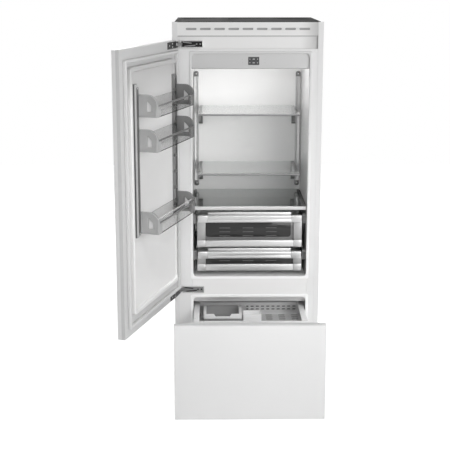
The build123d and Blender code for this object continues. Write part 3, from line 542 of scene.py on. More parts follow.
def whole(tint):
    """A colour property as the four numbers a socket takes."""
    return (*tint, 1.0)


def with_painted_shade(tree, base, tint, shade):
    """A base colour that grows darker along a direction as painted shade, where a shade is given."""
    if not shade:
        return base
    direction, start, end, level = shade
    mask = place_group(tree, "shade", {"Direction": direction, "Start": start, "End": end})["Mask"]
    return mixed(tree, mask, base, whole([level * part for part in tint]))


def skin(
    name, tint, roughness, grain=1500.0, depth=0.00002, tone=0.05,
    coat=0.0, dust=0.0, rub=0.0, shine=0.5, shade=None,
):
    """A lacquered, powder-coated or moulded finish."""
    tree, shader = new_finish(name)
    spreads = {"Tone Spread": tone, "Gloss Spread": 0.12}
    out = place_group(
        tree, "skin", {"Colour": whole(tint), "Roughness": roughness, "Grain Scale": grain, **spreads}
    )
    base = with_painted_shade(tree, out["Colour"], tint, shade)
    if dust:
        base = mixed(tree, place_group(tree, "dust", {"Amount": dust})["Mask"], base, DUST)
    if rub:
        worn = place_group(tree, "rub", {"Amount": rub})["Mask"]
        base = mixed(tree, worn, base, GREY)
        feed(tree, shader, {"Metallic": worn})
    gloss = {"Coat Weight": coat, "Coat Roughness": COAT_ROUGHNESS, "Specular IOR Level": shine}
    paint(tree, shader, base, out, depth, gloss)


def brushed(name, tint, roughness, stretch, metallic=1.0, tone=0.16, gloss=0.2, rub=0.0):
    """A drawn or brushed metal finish with its lines along the axis that is stretched least."""
    tree, shader = new_finish(name)
    spreads = {"Tone Spread": tone, "Gloss Spread": gloss}
    out = place_group(
        tree, "brushed", {"Colour": whole(tint), "Roughness": roughness, "Stretch": stretch, **spreads}
    )
    base = out["Colour"]
    if rub:
        base = mixed(tree, place_group(tree, "rub", {"Amount": rub})["Mask"], base, BARE_METAL)
    paint(tree, shader, base, out, FINE_RELIEF, {"Metallic": metallic})


def clear(name, tint, dull, ior=1.5, scale=9.0, shade=None):
    """Glass or clear plastic with faint wiping streaks."""
    tree, shader = new_finish(name)
    smear = place_group(tree, "smudge", {"Dull": dull, "Scale": scale})
    out = place_group(tree, "skin", {"Colour": whole(tint), "Tone Spread": 0.03, "Cloud Scale": 3.0})
    base = with_painted_shade(tree, out["Colour"], tint, shade)
    paint(tree, shader, base, smear, FINE_RELIEF, {"Transmission Weight": 1.0, "IOR": ior})


def smoked_window(name, tint):
    """Dark smoked plastic, glossy with faint streaks; on the crisper panes its darker and lighter tints serve as
    painted shade and light.
    """
    tree, shader = new_finish(name)
    out = place_group(tree, "skin", {"Colour": whole(tint), "Tone Spread": 0.25, "Cloud Scale": 6.0})
    smear = place_group(tree, "smudge", {"Dull": 0.5, "Scale": 12.0})
    paint(tree, shader, out["Colour"], smear, FINE_RELIEF, {"Specular IOR Level": 0.3})


def dark_display(tint):
    """Black glass of the control display."""
    tree, shader = new_finish("display_black")
    out = place_group(tree, "skin", {"Colour": whole(tint), "Tone Spread": 0.3, "Cloud Scale": 40.0})
    dull = place_group(tree, "smudge", {"Dull": 0.25, "Scale": 60.0})["Roughness"]
    feed(tree, shader, {"Base Color": out["Colour"], "Roughness": dull, "Coat Weight": 0.6})


def opal_lamp(tint):
    """Milky ribbed lens that glows softly."""
    tree, shader = new_finish("lamp_opal")
    wave = {"Vector": object_place(tree), "Scale": 60.0}
    ribs = add(tree, "ShaderNodeTexWave", wave, bands_direction="X")["Fac"]
    glow = mixed(tree, ribs, whole(tint), WHITE)
    light = {"Base Color": glow, "Emission Color": glow, "Emission Strength": 0.9}
    feed(tree, shader, {**light, "Roughness": 0.3, "Normal": bump(tree, ribs, 0.0005)})


ALONG_X = (5.0, 700.0, 700.0)
ALONG_Y = (700.0, 5.0, 700.0)
ALONG_Z = (700.0, 700.0, 5.0)
BINS = ("top_bin", "middle_bin", "bottom_bin")


def make_finishes(tints):
    """Build one finish for each material slot, and a few for small fittings."""
    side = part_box("vent_grille")[1].x
    lining_top = shut_box("door_liner")[1].z
    rim_low, rim_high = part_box("fridge_liner")
    lacquer = {"grain": 800.0, "coat": 0.2}
    lining = {"grain": 1400.0, "depth": 0.000012, "coat": 0.2}
    skin("cabinet_white", tints.cabinet, 0.42, grain=700.0, depth=0.00003, coat=0.15)
    skin("trim_white", tints.trim, 0.36, **lacquer)
    # Painted shade: the grille and hinge rail grow darker towards their right end, standing in for a darker
    # reflection there.
    skin("grille_white_painted_shade", tints.liner, 0.36, **lacquer, shade=(RIGHT, 0.7 * side, side, 0.6))
    skin("liner_white", tints.liner, 0.34, **lining, tone=0.03)
    # Painted shadow: the door lining grows darker towards its top, standing in for the shadow its raised border
    # casts into the pan.
    painted_top_shade = (UP, 0.9 * lining_top, lining_top, 0.66)
    skin("lining_white_painted_shade", tints.liner, 0.34, **lining, tone=0.03, shade=painted_top_shade)
    # Painted light and shade: the lips are brightest at and below the foot of the fridge opening and grow darker
    # up to its top.
    skin("lip_white_painted_light", tints.lip, 0.3, **lining, tone=0.02, shade=(UP, rim_low.z, rim_high.z, 0.72))
    skin("panel_white", tints.panel, 0.40, grain=520.0, depth=0.000025, tone=0.03, coat=0.1)
    skin("core_grey", tints.core, 0.5, grain=650.0, depth=0.00003)
    skin("tray_white", tints.tray, 0.38, grain=1600.0, tone=0.03, coat=0.1)
    # Painted shade: the freezer tray's grey floor and walls.
    skin("tray_painted_shade", tints.tray_inner_painted_shade, 0.4, grain=1600.0, tone=0.04)
    # Painted shade: the ice bin's grey trough and shelf.
    skin("ice_trough_painted_shade", tints.ice, 0.4, grain=1600.0)
    skin("ice_clear", tints.tray, 0.3, grain=1600.0, tone=0.03, coat=0.2)
    skin("dark_sheet", tints.dark_sheet, 0.7, grain=420.0, depth=0.00004, tone=0.3, dust=0.05, shine=0.1)
    skin("gasket_grey", tints.gasket, 0.55, grain=2200.0, tone=0.06)
    skin("runner_grey", tints.runner, 0.5, depth=0.00003, tone=0.12)
    skin("block_grey", tints.block, 0.45, depth=0.00003, tone=0.1)
    skin("fan_plastic", tints.runner, 0.45, tone=0.1)
    skin("bin_cap_grey", tints.bin_cap, 0.38, grain=1800.0, tone=0.08, coat=0.1)
    skin("bin_cap_painted_shade", tints.cap_painted_shade, 0.38, grain=1800.0, tone=0.1, coat=0.1)
    skin("bin_rim_grey", tints.runner, 0.35, grain=1800.0, tone=0.08, coat=0.1)
    skin("pane_white", tints.pane, 0.3, grain=1800.0, depth=FINE_RELIEF, coat=0.2)
    # Painted shade and shadow: the plate behind the grille's slots and the seam strip under it.
    skin("slot_grey_painted_shade", tints.slot, 0.6, grain=900.0, depth=0.00003)
    skin("mark_light", tints.mark, 0.4, grain=2500.0, depth=FINE_RELIEF)
    skin("mark_dim", tints.bin_cap, 0.4, grain=2500.0, depth=FINE_RELIEF)
    skin("foot_black", tints.black, 0.5, grain=1200.0, depth=0.00003, tone=0.3, dust=0.2)
    skin("compressor_black", tints.black, 0.35, grain=260.0, depth=0.0001, tone=0.3, dust=0.25)
    skin("hinge_black", tints.black, 0.38, tone=0.4, rub=0.5)
    # Painted shade: a dull near-black standing in for the dark hollow of a hinge box.
    skin("hinge_pit_painted_shade", tints.black, 0.6, tone=0.4, shine=0.2)
    brushed("fascia_grey", tints.fascia, 0.36, ALONG_X, metallic=0.25, tone=0.06)
    brushed("trim_silver", tints.satin, 0.30, ALONG_X, metallic=0.55, tone=0.08)
    brushed("trim_dark", tints.trim_dark, 0.32, ALONG_X, metallic=0.6)
    # Painted shade: the crisper posts' darker tone.
    brushed("post_grey_painted_shade", tints.post, 0.34, ALONG_Z, metallic=0.5, tone=0.06)
    brushed("rail_grey", tints.rail, 0.34, ALONG_Z, metallic=0.85)
    brushed("rail_dark", tints.runner, 0.36, ALONG_Z, metallic=0.6)
    brushed("rail_light", tints.rail_light, 0.4, ALONG_Z, metallic=0.2, tone=0.05)
    brushed("slide_steel", tints.steel, 0.36, ALONG_Y, rub=0.3)
    brushed("hinge_steel", tints.steel, 0.28, ALONG_X, rub=0.4)
    brushed("fin_aluminium", tints.steel, 0.4, ALONG_Z)
    brushed("copper_pipe", tints.copper, 0.3, (40.0, 40.0, 40.0), tone=0.2)
    brushed("wire_chrome", tints.chrome, 0.2, (60.0, 60.0, 60.0), metallic=0.6, tone=0.05, gloss=0.1)
    clear("clear_glass", tints.glass, 0.05)
    plastic = {"ior": 1.1, "scale": 14.0}
    clear("clear_plastic", tints.plastic, 0.08, **plastic)
    # Painted shade: the door bins grow darker from their middle to their back walls against the door.
    inward = OPEN_DOOR.to_3x3() @ INWARD
    low, high = (inward.dot(OPEN_DOOR @ corner) for corner in shut_box("top_bin"))
    clear("bin_plastic_painted_shade", tints.plastic, 0.08, **plastic, shade=(-inward, -(low + high) / 2, -low, 0.84))
    smoked_window("smoked_plastic", tints.smoked)
    smoked_window("smoked_edge", tints.smoked_edge)
    dark_display(tints.display)
    opal_lamp(tints.lens)


FINE_ROUNDING = 0.0006
EDGE_ROUNDING = {
    **dict.fromkeys(BINS, 0.001), "door_gasket": 0.005, "drawer_gasket": 0.004,
    "freezer_tray": 0.0012, "freezer_basket": 0.0015, "divider": 0.003,
}
OTHER_FINISH = {
    # Both finishes on the next line carry painted shade: the door bins darken towards their backs and the freezer
    # tray is greyed.
    **dict.fromkeys(BINS, "bin_plastic_painted_shade"), "freezer_tray": "tray_painted_shade", "divider": "liner_white",
    # Painted shade: the grille and hinge rail darken towards their right end.
    "vent_grille": "grille_white_painted_shade", "hinge_rail": "grille_white_painted_shade",
}


def soften(node, width):
    """Give a CAD node rounded edges with live modifiers; its mesh is left alone."""
    joined = node.modifiers.new("Joined corners", "WELD")
    joined.merge_threshold = 2e-6
    rounded = node.modifiers.new("Rounded edges", "BEVEL")
    rounded.limit_method = "ANGLE"
    rounded.angle_limit = math.radians(35)
    rounded.width = width
    rounded.segments = 2


class FRIDGE_OT_finishes(bpy.types.Operator):
    """Give every CAD node its finish and softly rounded edges"""

    bl_idname = "fridge.finishes"
    bl_label = "Finish CAD nodes"

    def execute(self, context):
        for name, make in EFFECTS.items():
            effects[name] = make()
        make_finishes(context.scene.fridge_finishes)
        for name, node in frame["nodes"].items():
            node.data.materials.clear()
            node.data.materials.append(finishes[OTHER_FINISH.get(name, slot_of[name])])
            soften(node, EDGE_ROUNDING.get(name, FINE_ROUNDING))
        return {"FINISHED"}


FLOOR_TONE = (0.85, 0.85, 0.85, 1)
SENSOR_WIDTH = 36
INNER_LAMP_GAP = 0.002
INNER_LAMP_LEAN = 0.12


class FRIDGE_OT_stage(bpy.types.Operator):
    """Add the white floor, the soft lamps and the camera"""

    bl_idname = "fridge.stage"
    bl_label = "Studio"

    def execute(self, context):
        studio = context.scene.fridge_studio
        self.room(context.scene, studio)
        self.floor(studio)
        chest, back = Vector((0.0, -0.3, 1.0)), Vector((0.0, 0.0, 1.1))
        drawer = Vector((0.1, -0.4, 0.6))
        self.lamp("Key lamp", studio.key_power, place=(2.6, -4.5, 2.1), target=chest, size=(2.8, 2.8))
        over = (0.2, -2.3, 2.7)
        top = self.lamp("Top lamp", studio.top_power, place=over, target=drawer, size=(1.2, 0.5))
        top.spread = studio.top_spread
        self.lamp("Fill lamp", studio.fill_power, place=(-1.3, -5.4, 2.4), target=chest, size=(2.0, 2.0))
        self.lamp("Back lamp", studio.back_power, place=(-2.2, 4.2, 2.6), target=back, size=(3.0, 3.0))
        low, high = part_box("lamp_lens")
        under = Vector(((low.x + high.x) / 2, (low.y + high.y) / 2, low.z - INNER_LAMP_GAP))
        down = Vector((under.x, under.y + INNER_LAMP_LEAN, low.z - 1))
        self.lamp("Inner lamp", studio.lamp_power, place=under, target=down, size=(high - low)[:Z])
        self.camera(context.scene, studio)
        return {"FINISHED"}

    def seen_directly(self, tree):
        """One for rays that show the background: from the camera, off gloss and through glass."""
        path = add(tree, "ShaderNodeLightPath")
        gloss = sum_of(tree, "MAXIMUM", path["Is Glossy Ray"], path["Is Transmission Ray"])
        return sum_of(tree, "MAXIMUM", gloss, path["Is Camera Ray"])

    def room(self, scene, studio):
        """White surroundings, dimmer as a light than they look."""
        scene.world = bpy.data.worlds.new("White room")
        scene.world.use_nodes = True
        tree = scene.world.node_tree
        tree.nodes.clear()
        light, white = (
            add(tree, "ShaderNodeBackground", {"Color": WHITE, "Strength": strength})[0]
            for strength in (studio.sky, 1.0)
        )
        both = add(tree, "ShaderNodeMixShader", {0: self.seen_directly(tree), 1: light, 2: white})[0]
        add(tree, "ShaderNodeOutputWorld", {"Surface": both})

    def floor(self, studio):
        """A white floor that keeps a faint shadow."""
        deselect()
        bpy.ops.mesh.primitive_plane_add(size=studio.floor_size, location=(0, 0, 0))
        ground = bpy.context.object
        ground.name = "studio_floor"
        finish = bpy.data.materials.new("studio_white")
        finish.use_nodes = True
        tree = finish.node_tree
        tree.nodes.clear()
        seen = self.seen_directly(tree)
        tone = mixed(tree, seen, FLOOR_TONE, GREY)
        matt = add(tree, "ShaderNodeBsdfDiffuse", {"Color": tone})[0]
        glow = sum_of(tree, "MULTIPLY", seen, studio.floor_glow)
        white = add(tree, "ShaderNodeEmission", {"Color": WHITE, "Strength": glow})[0]
        both = add(tree, "ShaderNodeAddShader", {0: matt, 1: white})[0]
        add(tree, "ShaderNodeOutputMaterial", {"Surface": both})
        ground.data.materials.append(finish)

    def lamp(self, name, power, place, target, size):
        """A rectangular soft lamp aimed at a point."""
        light = bpy.data.lights.new(name, "AREA")
        light.energy = power
        light.shape = "RECTANGLE"
        light.size, light.size_y = size
        holder = bpy.data.objects.new(name, light)
        holder.location = place
        holder.rotation_euler = (target - Vector(place)).to_track_quat("-Z", "Y").to_euler()
        bpy.context.scene.collection.objects.link(holder)
        return light

    def camera(self, scene, studio):
        """The camera at the photograph's viewing angle."""
        data = bpy.data.cameras.new("Camera")
        data.lens = studio.lens
        data.sensor_width = SENSOR_WIDTH
        data.shift_y = studio.shift
        scene.camera = bpy.data.objects.new("Camera", data)
        scene.camera.location = studio.camera_place
        scene.camera.rotation_euler = (math.pi / 2 + studio.camera_pitch, 0, -studio.camera_yaw)
        scene.collection.objects.link(scene.camera)
        scene.view_settings.view_transform = "Standard"


# Modelling helpers
SMALL = 1e-4
TOUCHING = 1e-5
ALIGNED = 0.99
OVER = 0.01
CLEANED = 1e-6
FULL_ROUND = 0.9  # of half a width, for a nearly round end
TRIM_ROUND = 0.6
RAIL_ROUND = 0.4


def deselect():
    """Leave edit mode and deselect every object."""
    if bpy.context.object and bpy.context.object.mode != "OBJECT":
        bpy.ops.object.mode_set(mode="OBJECT")
    bpy.ops.object.select_all(action="DESELECT")


def activate(*pieces):
    """Select some pieces alone and make the first one active."""
    deselect()
    for piece in pieces:
        piece.select_set(True)
    bpy.context.view_layer.objects.active = pieces[0]


@contextmanager
def editing(piece):
    """Open a piece in edit mode with nothing selected, and leave edit mode at the end."""
    activate(piece)
    bpy.ops.object.mode_set(mode="EDIT")
    bpy.ops.mesh.select_all(action="DESELECT")
    yield bmesh.from_edit_mesh(piece.data)
    bpy.ops.object.mode_set(mode="OBJECT")


def placed(name):
    """Name the new active object and put its place into its mesh."""
    piece = bpy.context.object
    piece.name = name
    bpy.ops.object.transform_apply(location=True, rotation=True, scale=True)
    return piece


def block(name, low, high):
    """A box between two corners, as a start to shape."""
    deselect()
    low, high = Vector(low), Vector(high)
    bpy.ops.mesh.primitive_cube_add(size=1, location=(low + high) / 2, scale=high - low)
    return placed(name)


def bar(name, low, high, axis, width, segments, sides=""):
    """A box whose edges along an axis are rounded, all of them or those on the sides named."""
    piece = block(name, low, high)
    round_edges(piece, axis, width, segments, sides)
    return piece


def rod(name, middle, radius, span, axis, sides=32):
    """A round bar along an axis, as a start to shape."""
    deselect()
    turn = {X: (0, math.pi / 2, 0), Y: (math.pi / 2, 0, 0), Z: (0, 0, 0)}[axis]
    form = {"vertices": sides, "radius": radius, "depth": span}
    bpy.ops.mesh.primitive_cylinder_add(**form, location=middle, rotation=turn)
    return placed(name)


def ways(sides):
    """The axis and the sign of each side named, such as +Y or -Y+Z."""
    return [("XYZ".index(axis), int(sign + "1")) for sign, axis in zip(sides[::2], sides[1::2])]


def lies_on(mesh, sides):
    """A test whether an edge or face lies outermost on every side named."""
    limits = [
        (axis, sign, max(sign * corner.co[axis] for corner in mesh.verts)) for axis, sign in ways(sides)
    ]

    def test(item):
        middle = sum((corner.co for corner in item.verts), Vector()) / len(item.verts)
        return all(sign * middle[axis] > limit - TOUCHING for axis, sign, limit in limits)

    return test


def pick(mesh, kind, items, test):
    """In edit mode, select the faces or edges that pass a test; fails if none does."""
    bpy.ops.mesh.select_mode(type=kind)
    bpy.ops.mesh.select_all(action="DESELECT")
    found = [item for item in items if test(item)]
    if not found:
        raise RuntimeError(f"nothing to pick on {bpy.context.object.name}")
    for item in found:
        item.select_set(True)
    mesh.select_flush_mode()
    bmesh.update_edit_mesh(bpy.context.object.data)


def pick_side(mesh, side):
    """In edit mode, select the outermost face on one side."""
    outermost = lies_on(mesh, side)
    axis, sign = ways(side)[0]
    pick(mesh, "FACE", mesh.faces, lambda face: sign * face.normal[axis] > ALIGNED and outermost(face))


def runs_along(edge, axis):
    """Whether an edge runs along an axis."""
    step = (edge.verts[1].co - edge.verts[0].co).normalized()
    return abs(step[axis]) > ALIGNED


def round_edges(piece, axis, width, segments, sides=""):
    """Round the edges of a piece along an axis, all of them or those on the sides named."""
    with editing(piece) as mesh:
        outermost = lies_on(mesh, sides)
        pick(mesh, "EDGE", mesh.edges, lambda edge: runs_along(edge, axis) and outermost(edge))
        bpy.ops.mesh.bevel(offset=width, offset_type="OFFSET", segments=segments, affect="EDGES")


def along(axis, step):
    """A step along an axis as a vector."""
    arrow = Vector((0, 0, 0))
    arrow[axis] = step
    return arrow


def sink_face(piece, side, margin, depth):
    """Inset the outermost face on one side of a piece and push it in."""
    axis, sign = ways(side)[0]
    with editing(piece) as mesh:
        pick_side(mesh, side)
        bpy.ops.mesh.inset(thickness=margin, depth=0)
        bpy.ops.mesh.extrude_region_move(TRANSFORM_OT_translate={"value": along(axis, -sign * depth)})


def bend_end(piece, side, steps, centre, axis, run):
    """Bend a rod's end a quarter turn about an axis and let it run on straight."""
    with editing(piece) as mesh:
        pick_side(mesh, side)
        bpy.ops.mesh.spin(steps=steps, angle=math.pi / 2, center=centre, axis=axis)
        bpy.ops.mesh.extrude_region_move(TRANSFORM_OT_translate={"value": run})


def apply_modifier(piece, kind, **settings):
    """Add a modifier to a piece and apply it."""
    activate(piece)
    made = piece.modifiers.new(kind.title(), kind)
    for key, value in settings.items():
        setattr(made, key, value)
    bpy.ops.object.modifier_apply(modifier=made.name)


def soft_edges(piece, width, segments=2):
    """Round every sharp edge of a finished form."""
    sharp = {"limit_method": "ANGLE", "angle_limit": math.radians(40)}
    apply_modifier(piece, "BEVEL", width=width, segments=segments, **sharp)
    return piece


def cut(piece, *cutters, operation="DIFFERENCE"):
    """Cut forms out of a piece, or add them to it, and remove them."""
    for cutter in cutters:
        apply_modifier(piece, "BOOLEAN", object=cutter, operation=operation, solver="EXACT")
        bpy.data.objects.remove(cutter)
        if not piece.data.polygons:
            raise RuntimeError(f"nothing is left of {piece.name}")


def copy_to(piece, step=(0, 0, 0), mirrored=False):
    """A copy with its own mesh, mirrored from side to side if asked, and then moved by a step."""
    twin = piece.copy()
    twin.data = piece.data.copy()
    bpy.context.scene.collection.objects.link(twin)
    if mirrored:
        twin.data.transform(Matrix.Scale(-1, 4, RIGHT))
        twin.data.flip_normals()
    twin.data.transform(Matrix.Translation(step))
    return twin


def join(pieces):
    """Make several meshes one."""
    activate(*pieces)
    if len(pieces) > 1:
        bpy.ops.object.join()
    return pieces[0]


def settle(name, pieces, finish, body="cabinet", replaces=()):
    """Join finished meshes, clean the piece, give it its finish, and let it ride on its body."""
    piece = join(pieces)
    piece.name = name
    if body == "door":
        piece.data.transform(OPEN_DOOR)
    with editing(piece) as mesh:
        bpy.ops.mesh.select_all(action="SELECT")
        bpy.ops.mesh.remove_doubles(threshold=CLEANED)
        bpy.ops.mesh.normals_make_consistent(inside=False)
        if mesh.calc_volume(signed=True) < 0:
            bpy.ops.mesh.flip_normals()
    activate(piece)
    bpy.ops.object.shade_smooth_by_angle(angle=math.radians(38))
    piece.data.materials.clear()
    piece.data.materials.append(finishes[finish])
    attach(piece, body)
    if replaces:
        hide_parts(*replaces)


def rows(number, pitch):
    """Offsets of evenly spaced things about their middle."""
    return [(place - (number - 1) / 2) * pitch for place in range(number)]


def shut_box(name):
    """The lowest and highest corners of a door node with the door shut."""
    shut = OPEN_DOOR.inverted()
    places = [shut @ corner.co for corner in frame["nodes"][name].data.vertices]
    return [Vector([end(place[axis] for place in places) for axis in (X, Y, Z)]) for end in (min, max)]


# Shares of a screw's height and radius
DOME, CROSS_DEPTH = 0.6, 0.4
CROSS_WIDTH, CROSS_LENGTH = 0.16, 0.62


def screw(place, side):
    """A domed screw head with a cross in it, standing on a face."""
    sizes = bpy.context.scene.fridge_fittings
    radius, tall = sizes.screw_radius, sizes.screw_height
    axis, sign = ways(side)[0]
    top = Vector(place) + along(axis, sign * tall)
    head = rod("screw", Vector(place) + along(axis, sign * tall / 2), radius, tall, axis, 20)
    with editing(head) as mesh:
        pick_side(mesh, side)
        bpy.ops.mesh.region_to_loop()
        bpy.ops.mesh.bevel(offset=tall * DOME, segments=3, affect="EDGES")
    for across in (X, Y, Z):
        if across != axis:
            half = Vector((radius * CROSS_WIDTH,) * 3)
            half[across] = radius * CROSS_LENGTH
            half[axis] = tall * CROSS_DEPTH
            cut(head, block("cross", top - half, top + half))
    return head


def screws(name, places, side, body="cabinet", finish="hinge_steel"):
    """One piece of screws that stand on a face."""
    settle(name, [screw(place, side) for place in places], finish, body)


# Width and height of a hanging slot's two parts, in slots
HANGING_SLOT = ((1, 1), (2, 0.4))


class FRIDGE_OT_door_lining(bpy.types.Operator):
    """Model the door lining as a raised border round a shallow pan, with a slotted and a closed rail"""

    bl_idname = "fridge.door_lining"
    bl_label = "Door lining"

    def execute(self, context):
        sizes = context.scene.fridge_fittings
        self.lining(sizes)
        self.rails(sizes)
        return {"FINISHED"}

    def lining(self, sizes):
        """The moulded lining, hollowed to a pan inside its border."""
        low, high = shut_box("door_liner")
        edge, corner = sizes.lining_border, sizes.lining_corner
        lining = bar("lining", low, high, Y, corner, 5)
        side = (low.x + shut_box("door_rails")[0].x) / 2
        start = (side, high.y - sizes.pan_depth, low.z + edge)
        cut(lining, bar("pan", start, (high.x - edge, high.y + edge, high.z - edge), Y, corner, 5))
        soft_edges(lining, sizes.lining_round, 3)
        # The lining's finish carries a painted shadow towards its top.
        settle("door_lining", [lining], "lining_white_painted_shade", "door", ["door_liner"])

    def rails(self, sizes):
        """Both upright rails, rounded at their ends: the far one a slotted channel, the near one closed."""
        low, high = shut_box("door_rails")
        width, groove = sizes.door_rail_width, sizes.door_rail_groove
        foot = low.y - sizes.pan_depth
        end = (low.x + width, high.y, high.z)
        rail = bar("rail", (low.x, foot, low.z), end, X, sizes.door_rail_round, 6, "+Y")
        sink_face(rail, "+Y", sizes.door_rail_wall, groove)
        depth = (foot + high.y) / 2 + sizes.slot_width / 2
        for number in range(sizes.door_rail_slots):
            level = low.z + sizes.door_rail_pitch * (number + 0.6)
            for reach, tall in HANGING_SLOT:
                half, height = sizes.slot_width * reach / 2, sizes.slot_height * tall
                start = (low.x - width, depth - half, level)
                end = (low.x + 2 * width, depth + half, level + height)
                cut(rail, bar("slot", start, end, X, FULL_ROUND * min(half, height / 2), 3))
        soft_edges(rail, sizes.fine_round)
        # Painted shade: the far rail takes the dark trim, darker than the near rail by the free edge.
        settle("far_door_rail", [rail], "trim_dark", "door", ["door_rails"])
        nose = high.y + sizes.near_rail_proud
        self.near_rail(sizes, Vector((high.x - width, foot, low.z)), Vector((high.x, nose, high.z)))
        starts = ((low.x, high.y - groove), (high.x - width, nose))
        levels = (low.z + sizes.rail_screw_inset, high.z - sizes.rail_screw_inset)
        places = [(start + width / 2, face, level) for start, face in starts for level in levels]
        screws("door_rail_screws", places, "+Y", "door")

    def near_rail(self, sizes, low, high):
        """The closed rail by the free edge, with dark strips as painted shade: a painted shadow along its foot
        where it meets the pan, and painted shade down its face.
        """
        end, edge = sizes.door_rail_round, sizes.door_rail_wall
        rail = soft_edges(bar("rail", low, high, X, end, 6, "+Y"), sizes.fine_round)
        settle("near_door_rail", [rail], "rail_light", "door")
        # Dark strips that stand in for shade, not parts of the rail.
        top = (high.x + 4 * SMALL, low.y + sizes.pan_depth + edge / 2, high.z - SMALL)
        foot = block("rail foot", low + Vector((SMALL, SMALL, SMALL)), top)
        start = (low.x + edge / 4, high.y - edge / 4, low.z + end)
        face = bar("rail face", start, (high.x - edge / 4, high.y + edge / 6, high.z - end), Y, edge, 4)
        strips = [soft_edges(strip, 2 * SMALL) for strip in (foot, face)]
        settle("near_rail_painted_shade", strips, "rail_dark", "door")


# Shares of an end cap's height
WRAP_TOP = 0.55
WINDOW_FOOT, WINDOW_TOP = 0.23, 0.74
PANE_FOOT, PANE_TOP = 0.2, 0.78
WINDOW_SLANT = 0.95  # of the window's width


class FRIDGE_OT_door_bins(bpy.types.Operator):
    """Model the bins' moulded end caps, the rims of their front walls and the bent chrome wire"""

    bl_idname = "fridge.door_bins"
    bl_label = "Door bins"

    def execute(self, context):
        sizes = context.scene.fridge_fittings
        low, high = shut_box("bin_end_caps")
        boxes = [shut_box(name) for name in BINS]
        levels = [box[0].z for box in boxes]
        cap = self.cap(sizes, low.y, high.y)
        # The far caps take a darker colour than the near caps as painted shade.
        for side, place, finish, node in (
            ("near", high.x, "bin_cap_grey", ["bin_end_caps"]),
            ("far", low.x, "bin_cap_painted_shade", []),
        ):
            far = side == "far"
            caps = [copy_to(cap, (place, 0, level), far) for level in levels]
            settle(f"{side}_bin_caps", caps, finish, "door", node)
            panes = [self.pane(sizes, low.y, place, level, far) for level in levels]
            settle(f"{side}_bin_panes", panes, "pane_white", "door")
        bpy.data.objects.remove(cap)
        rims = [self.rim(sizes, *box) for box in boxes]
        settle("bin_rims", rims, "bin_rim_grey", "door")
        self.wire(sizes)
        return {"FINISHED"}

    def cap(self, sizes, back, nose):
        """One end cap with its outer face and foot at zero: a rounded cheek that wraps the bin's corner."""
        thick, high = sizes.cap_thickness, sizes.cap_height
        border, fine = sizes.cap_border, sizes.fine_round
        cap = bar("cap", (-thick, back, 0), (0, nose, high), X, sizes.cap_round, 12, "+Y+Z")
        start, end = (-sizes.cap_wrap, nose - border * 2, fine), (-thick / 2, nose - fine, high * WRAP_TOP)
        cut(cap, bar("wrap", start, end, Y, border, 4, "-X"), operation="UNION")
        round_edges(cap, Z, border, 4, "+X+Y")
        sink_face(cap, "+X", border, sizes.cap_sink)
        start = (-2 * thick, back + sizes.window_back, high * WINDOW_FOOT)
        end = (thick, back + sizes.window_front, high * WINDOW_TOP)
        cut(cap, bar("window", start, end, X, (end[Y] - start[Y]) * WINDOW_SLANT, 1, "+Y+Z"))
        return soft_edges(cap, fine, 3)

    def pane(self, sizes, back, place, level, far):
        """The milky pane in an end cap's window."""
        thick, edge = sizes.cap_thickness / 4, sizes.cap_border / 2
        middle = place + (1 if far else -1) * thick * 2.4
        low = (middle - thick / 4, back + sizes.window_back - edge, level + sizes.cap_height * PANE_FOOT)
        high = (middle + thick / 4, back + sizes.window_front + edge, level + sizes.cap_height * PANE_TOP)
        slant = (high[Y] - low[Y]) * WINDOW_SLANT
        return soft_edges(bar("pane", low, high, X, slant, 1, "+Y+Z"), SMALL)

    def rim(self, sizes, low, high):
        """The grey strip along the top of a bin's front wall, hooked over it."""
        thick, top = sizes.rim_thickness, low.z + sizes.bin_wall_height
        start, end = (low.x, high.y - thick, top - thick), (high.x, high.y + SMALL, top + thick / 2)
        return bar("bin rim", start, end, X, thick * 0.4, 3, "+Z")

    def wire(self, sizes):
        """The guard wire of the lowest bin, bent back along the end cap at its free end."""
        low, high = shut_box("bin_wire")
        radius, bend = (high.z - low.z) / 2, sizes.wire_bend
        middle = (low + high) / 2
        end = high.x - bend - radius
        wire = rod("wire", ((low.x + end) / 2, middle.y, middle.z), radius, end - low.x, X, 16)
        bend_end(wire, "+X", 8, (end, middle.y - bend, middle.z), -UP, (0, -bend, 0))
        settle("bin_wire_bent", [wire], "wire_chrome", "door", ["bin_wire"])


# Each link's run along its box, span, tilt in degrees and lift
HINGE_LINKS = ((0.3, 0.4, 7, 0.42), (0.42, 0.5, -5, -0.46))
LINK_SCREWS = (0.72, 0.88)
PLATE_SCREWS = ((0.45, 0.45), (0.45, -0.45), (0.82, 0.0))


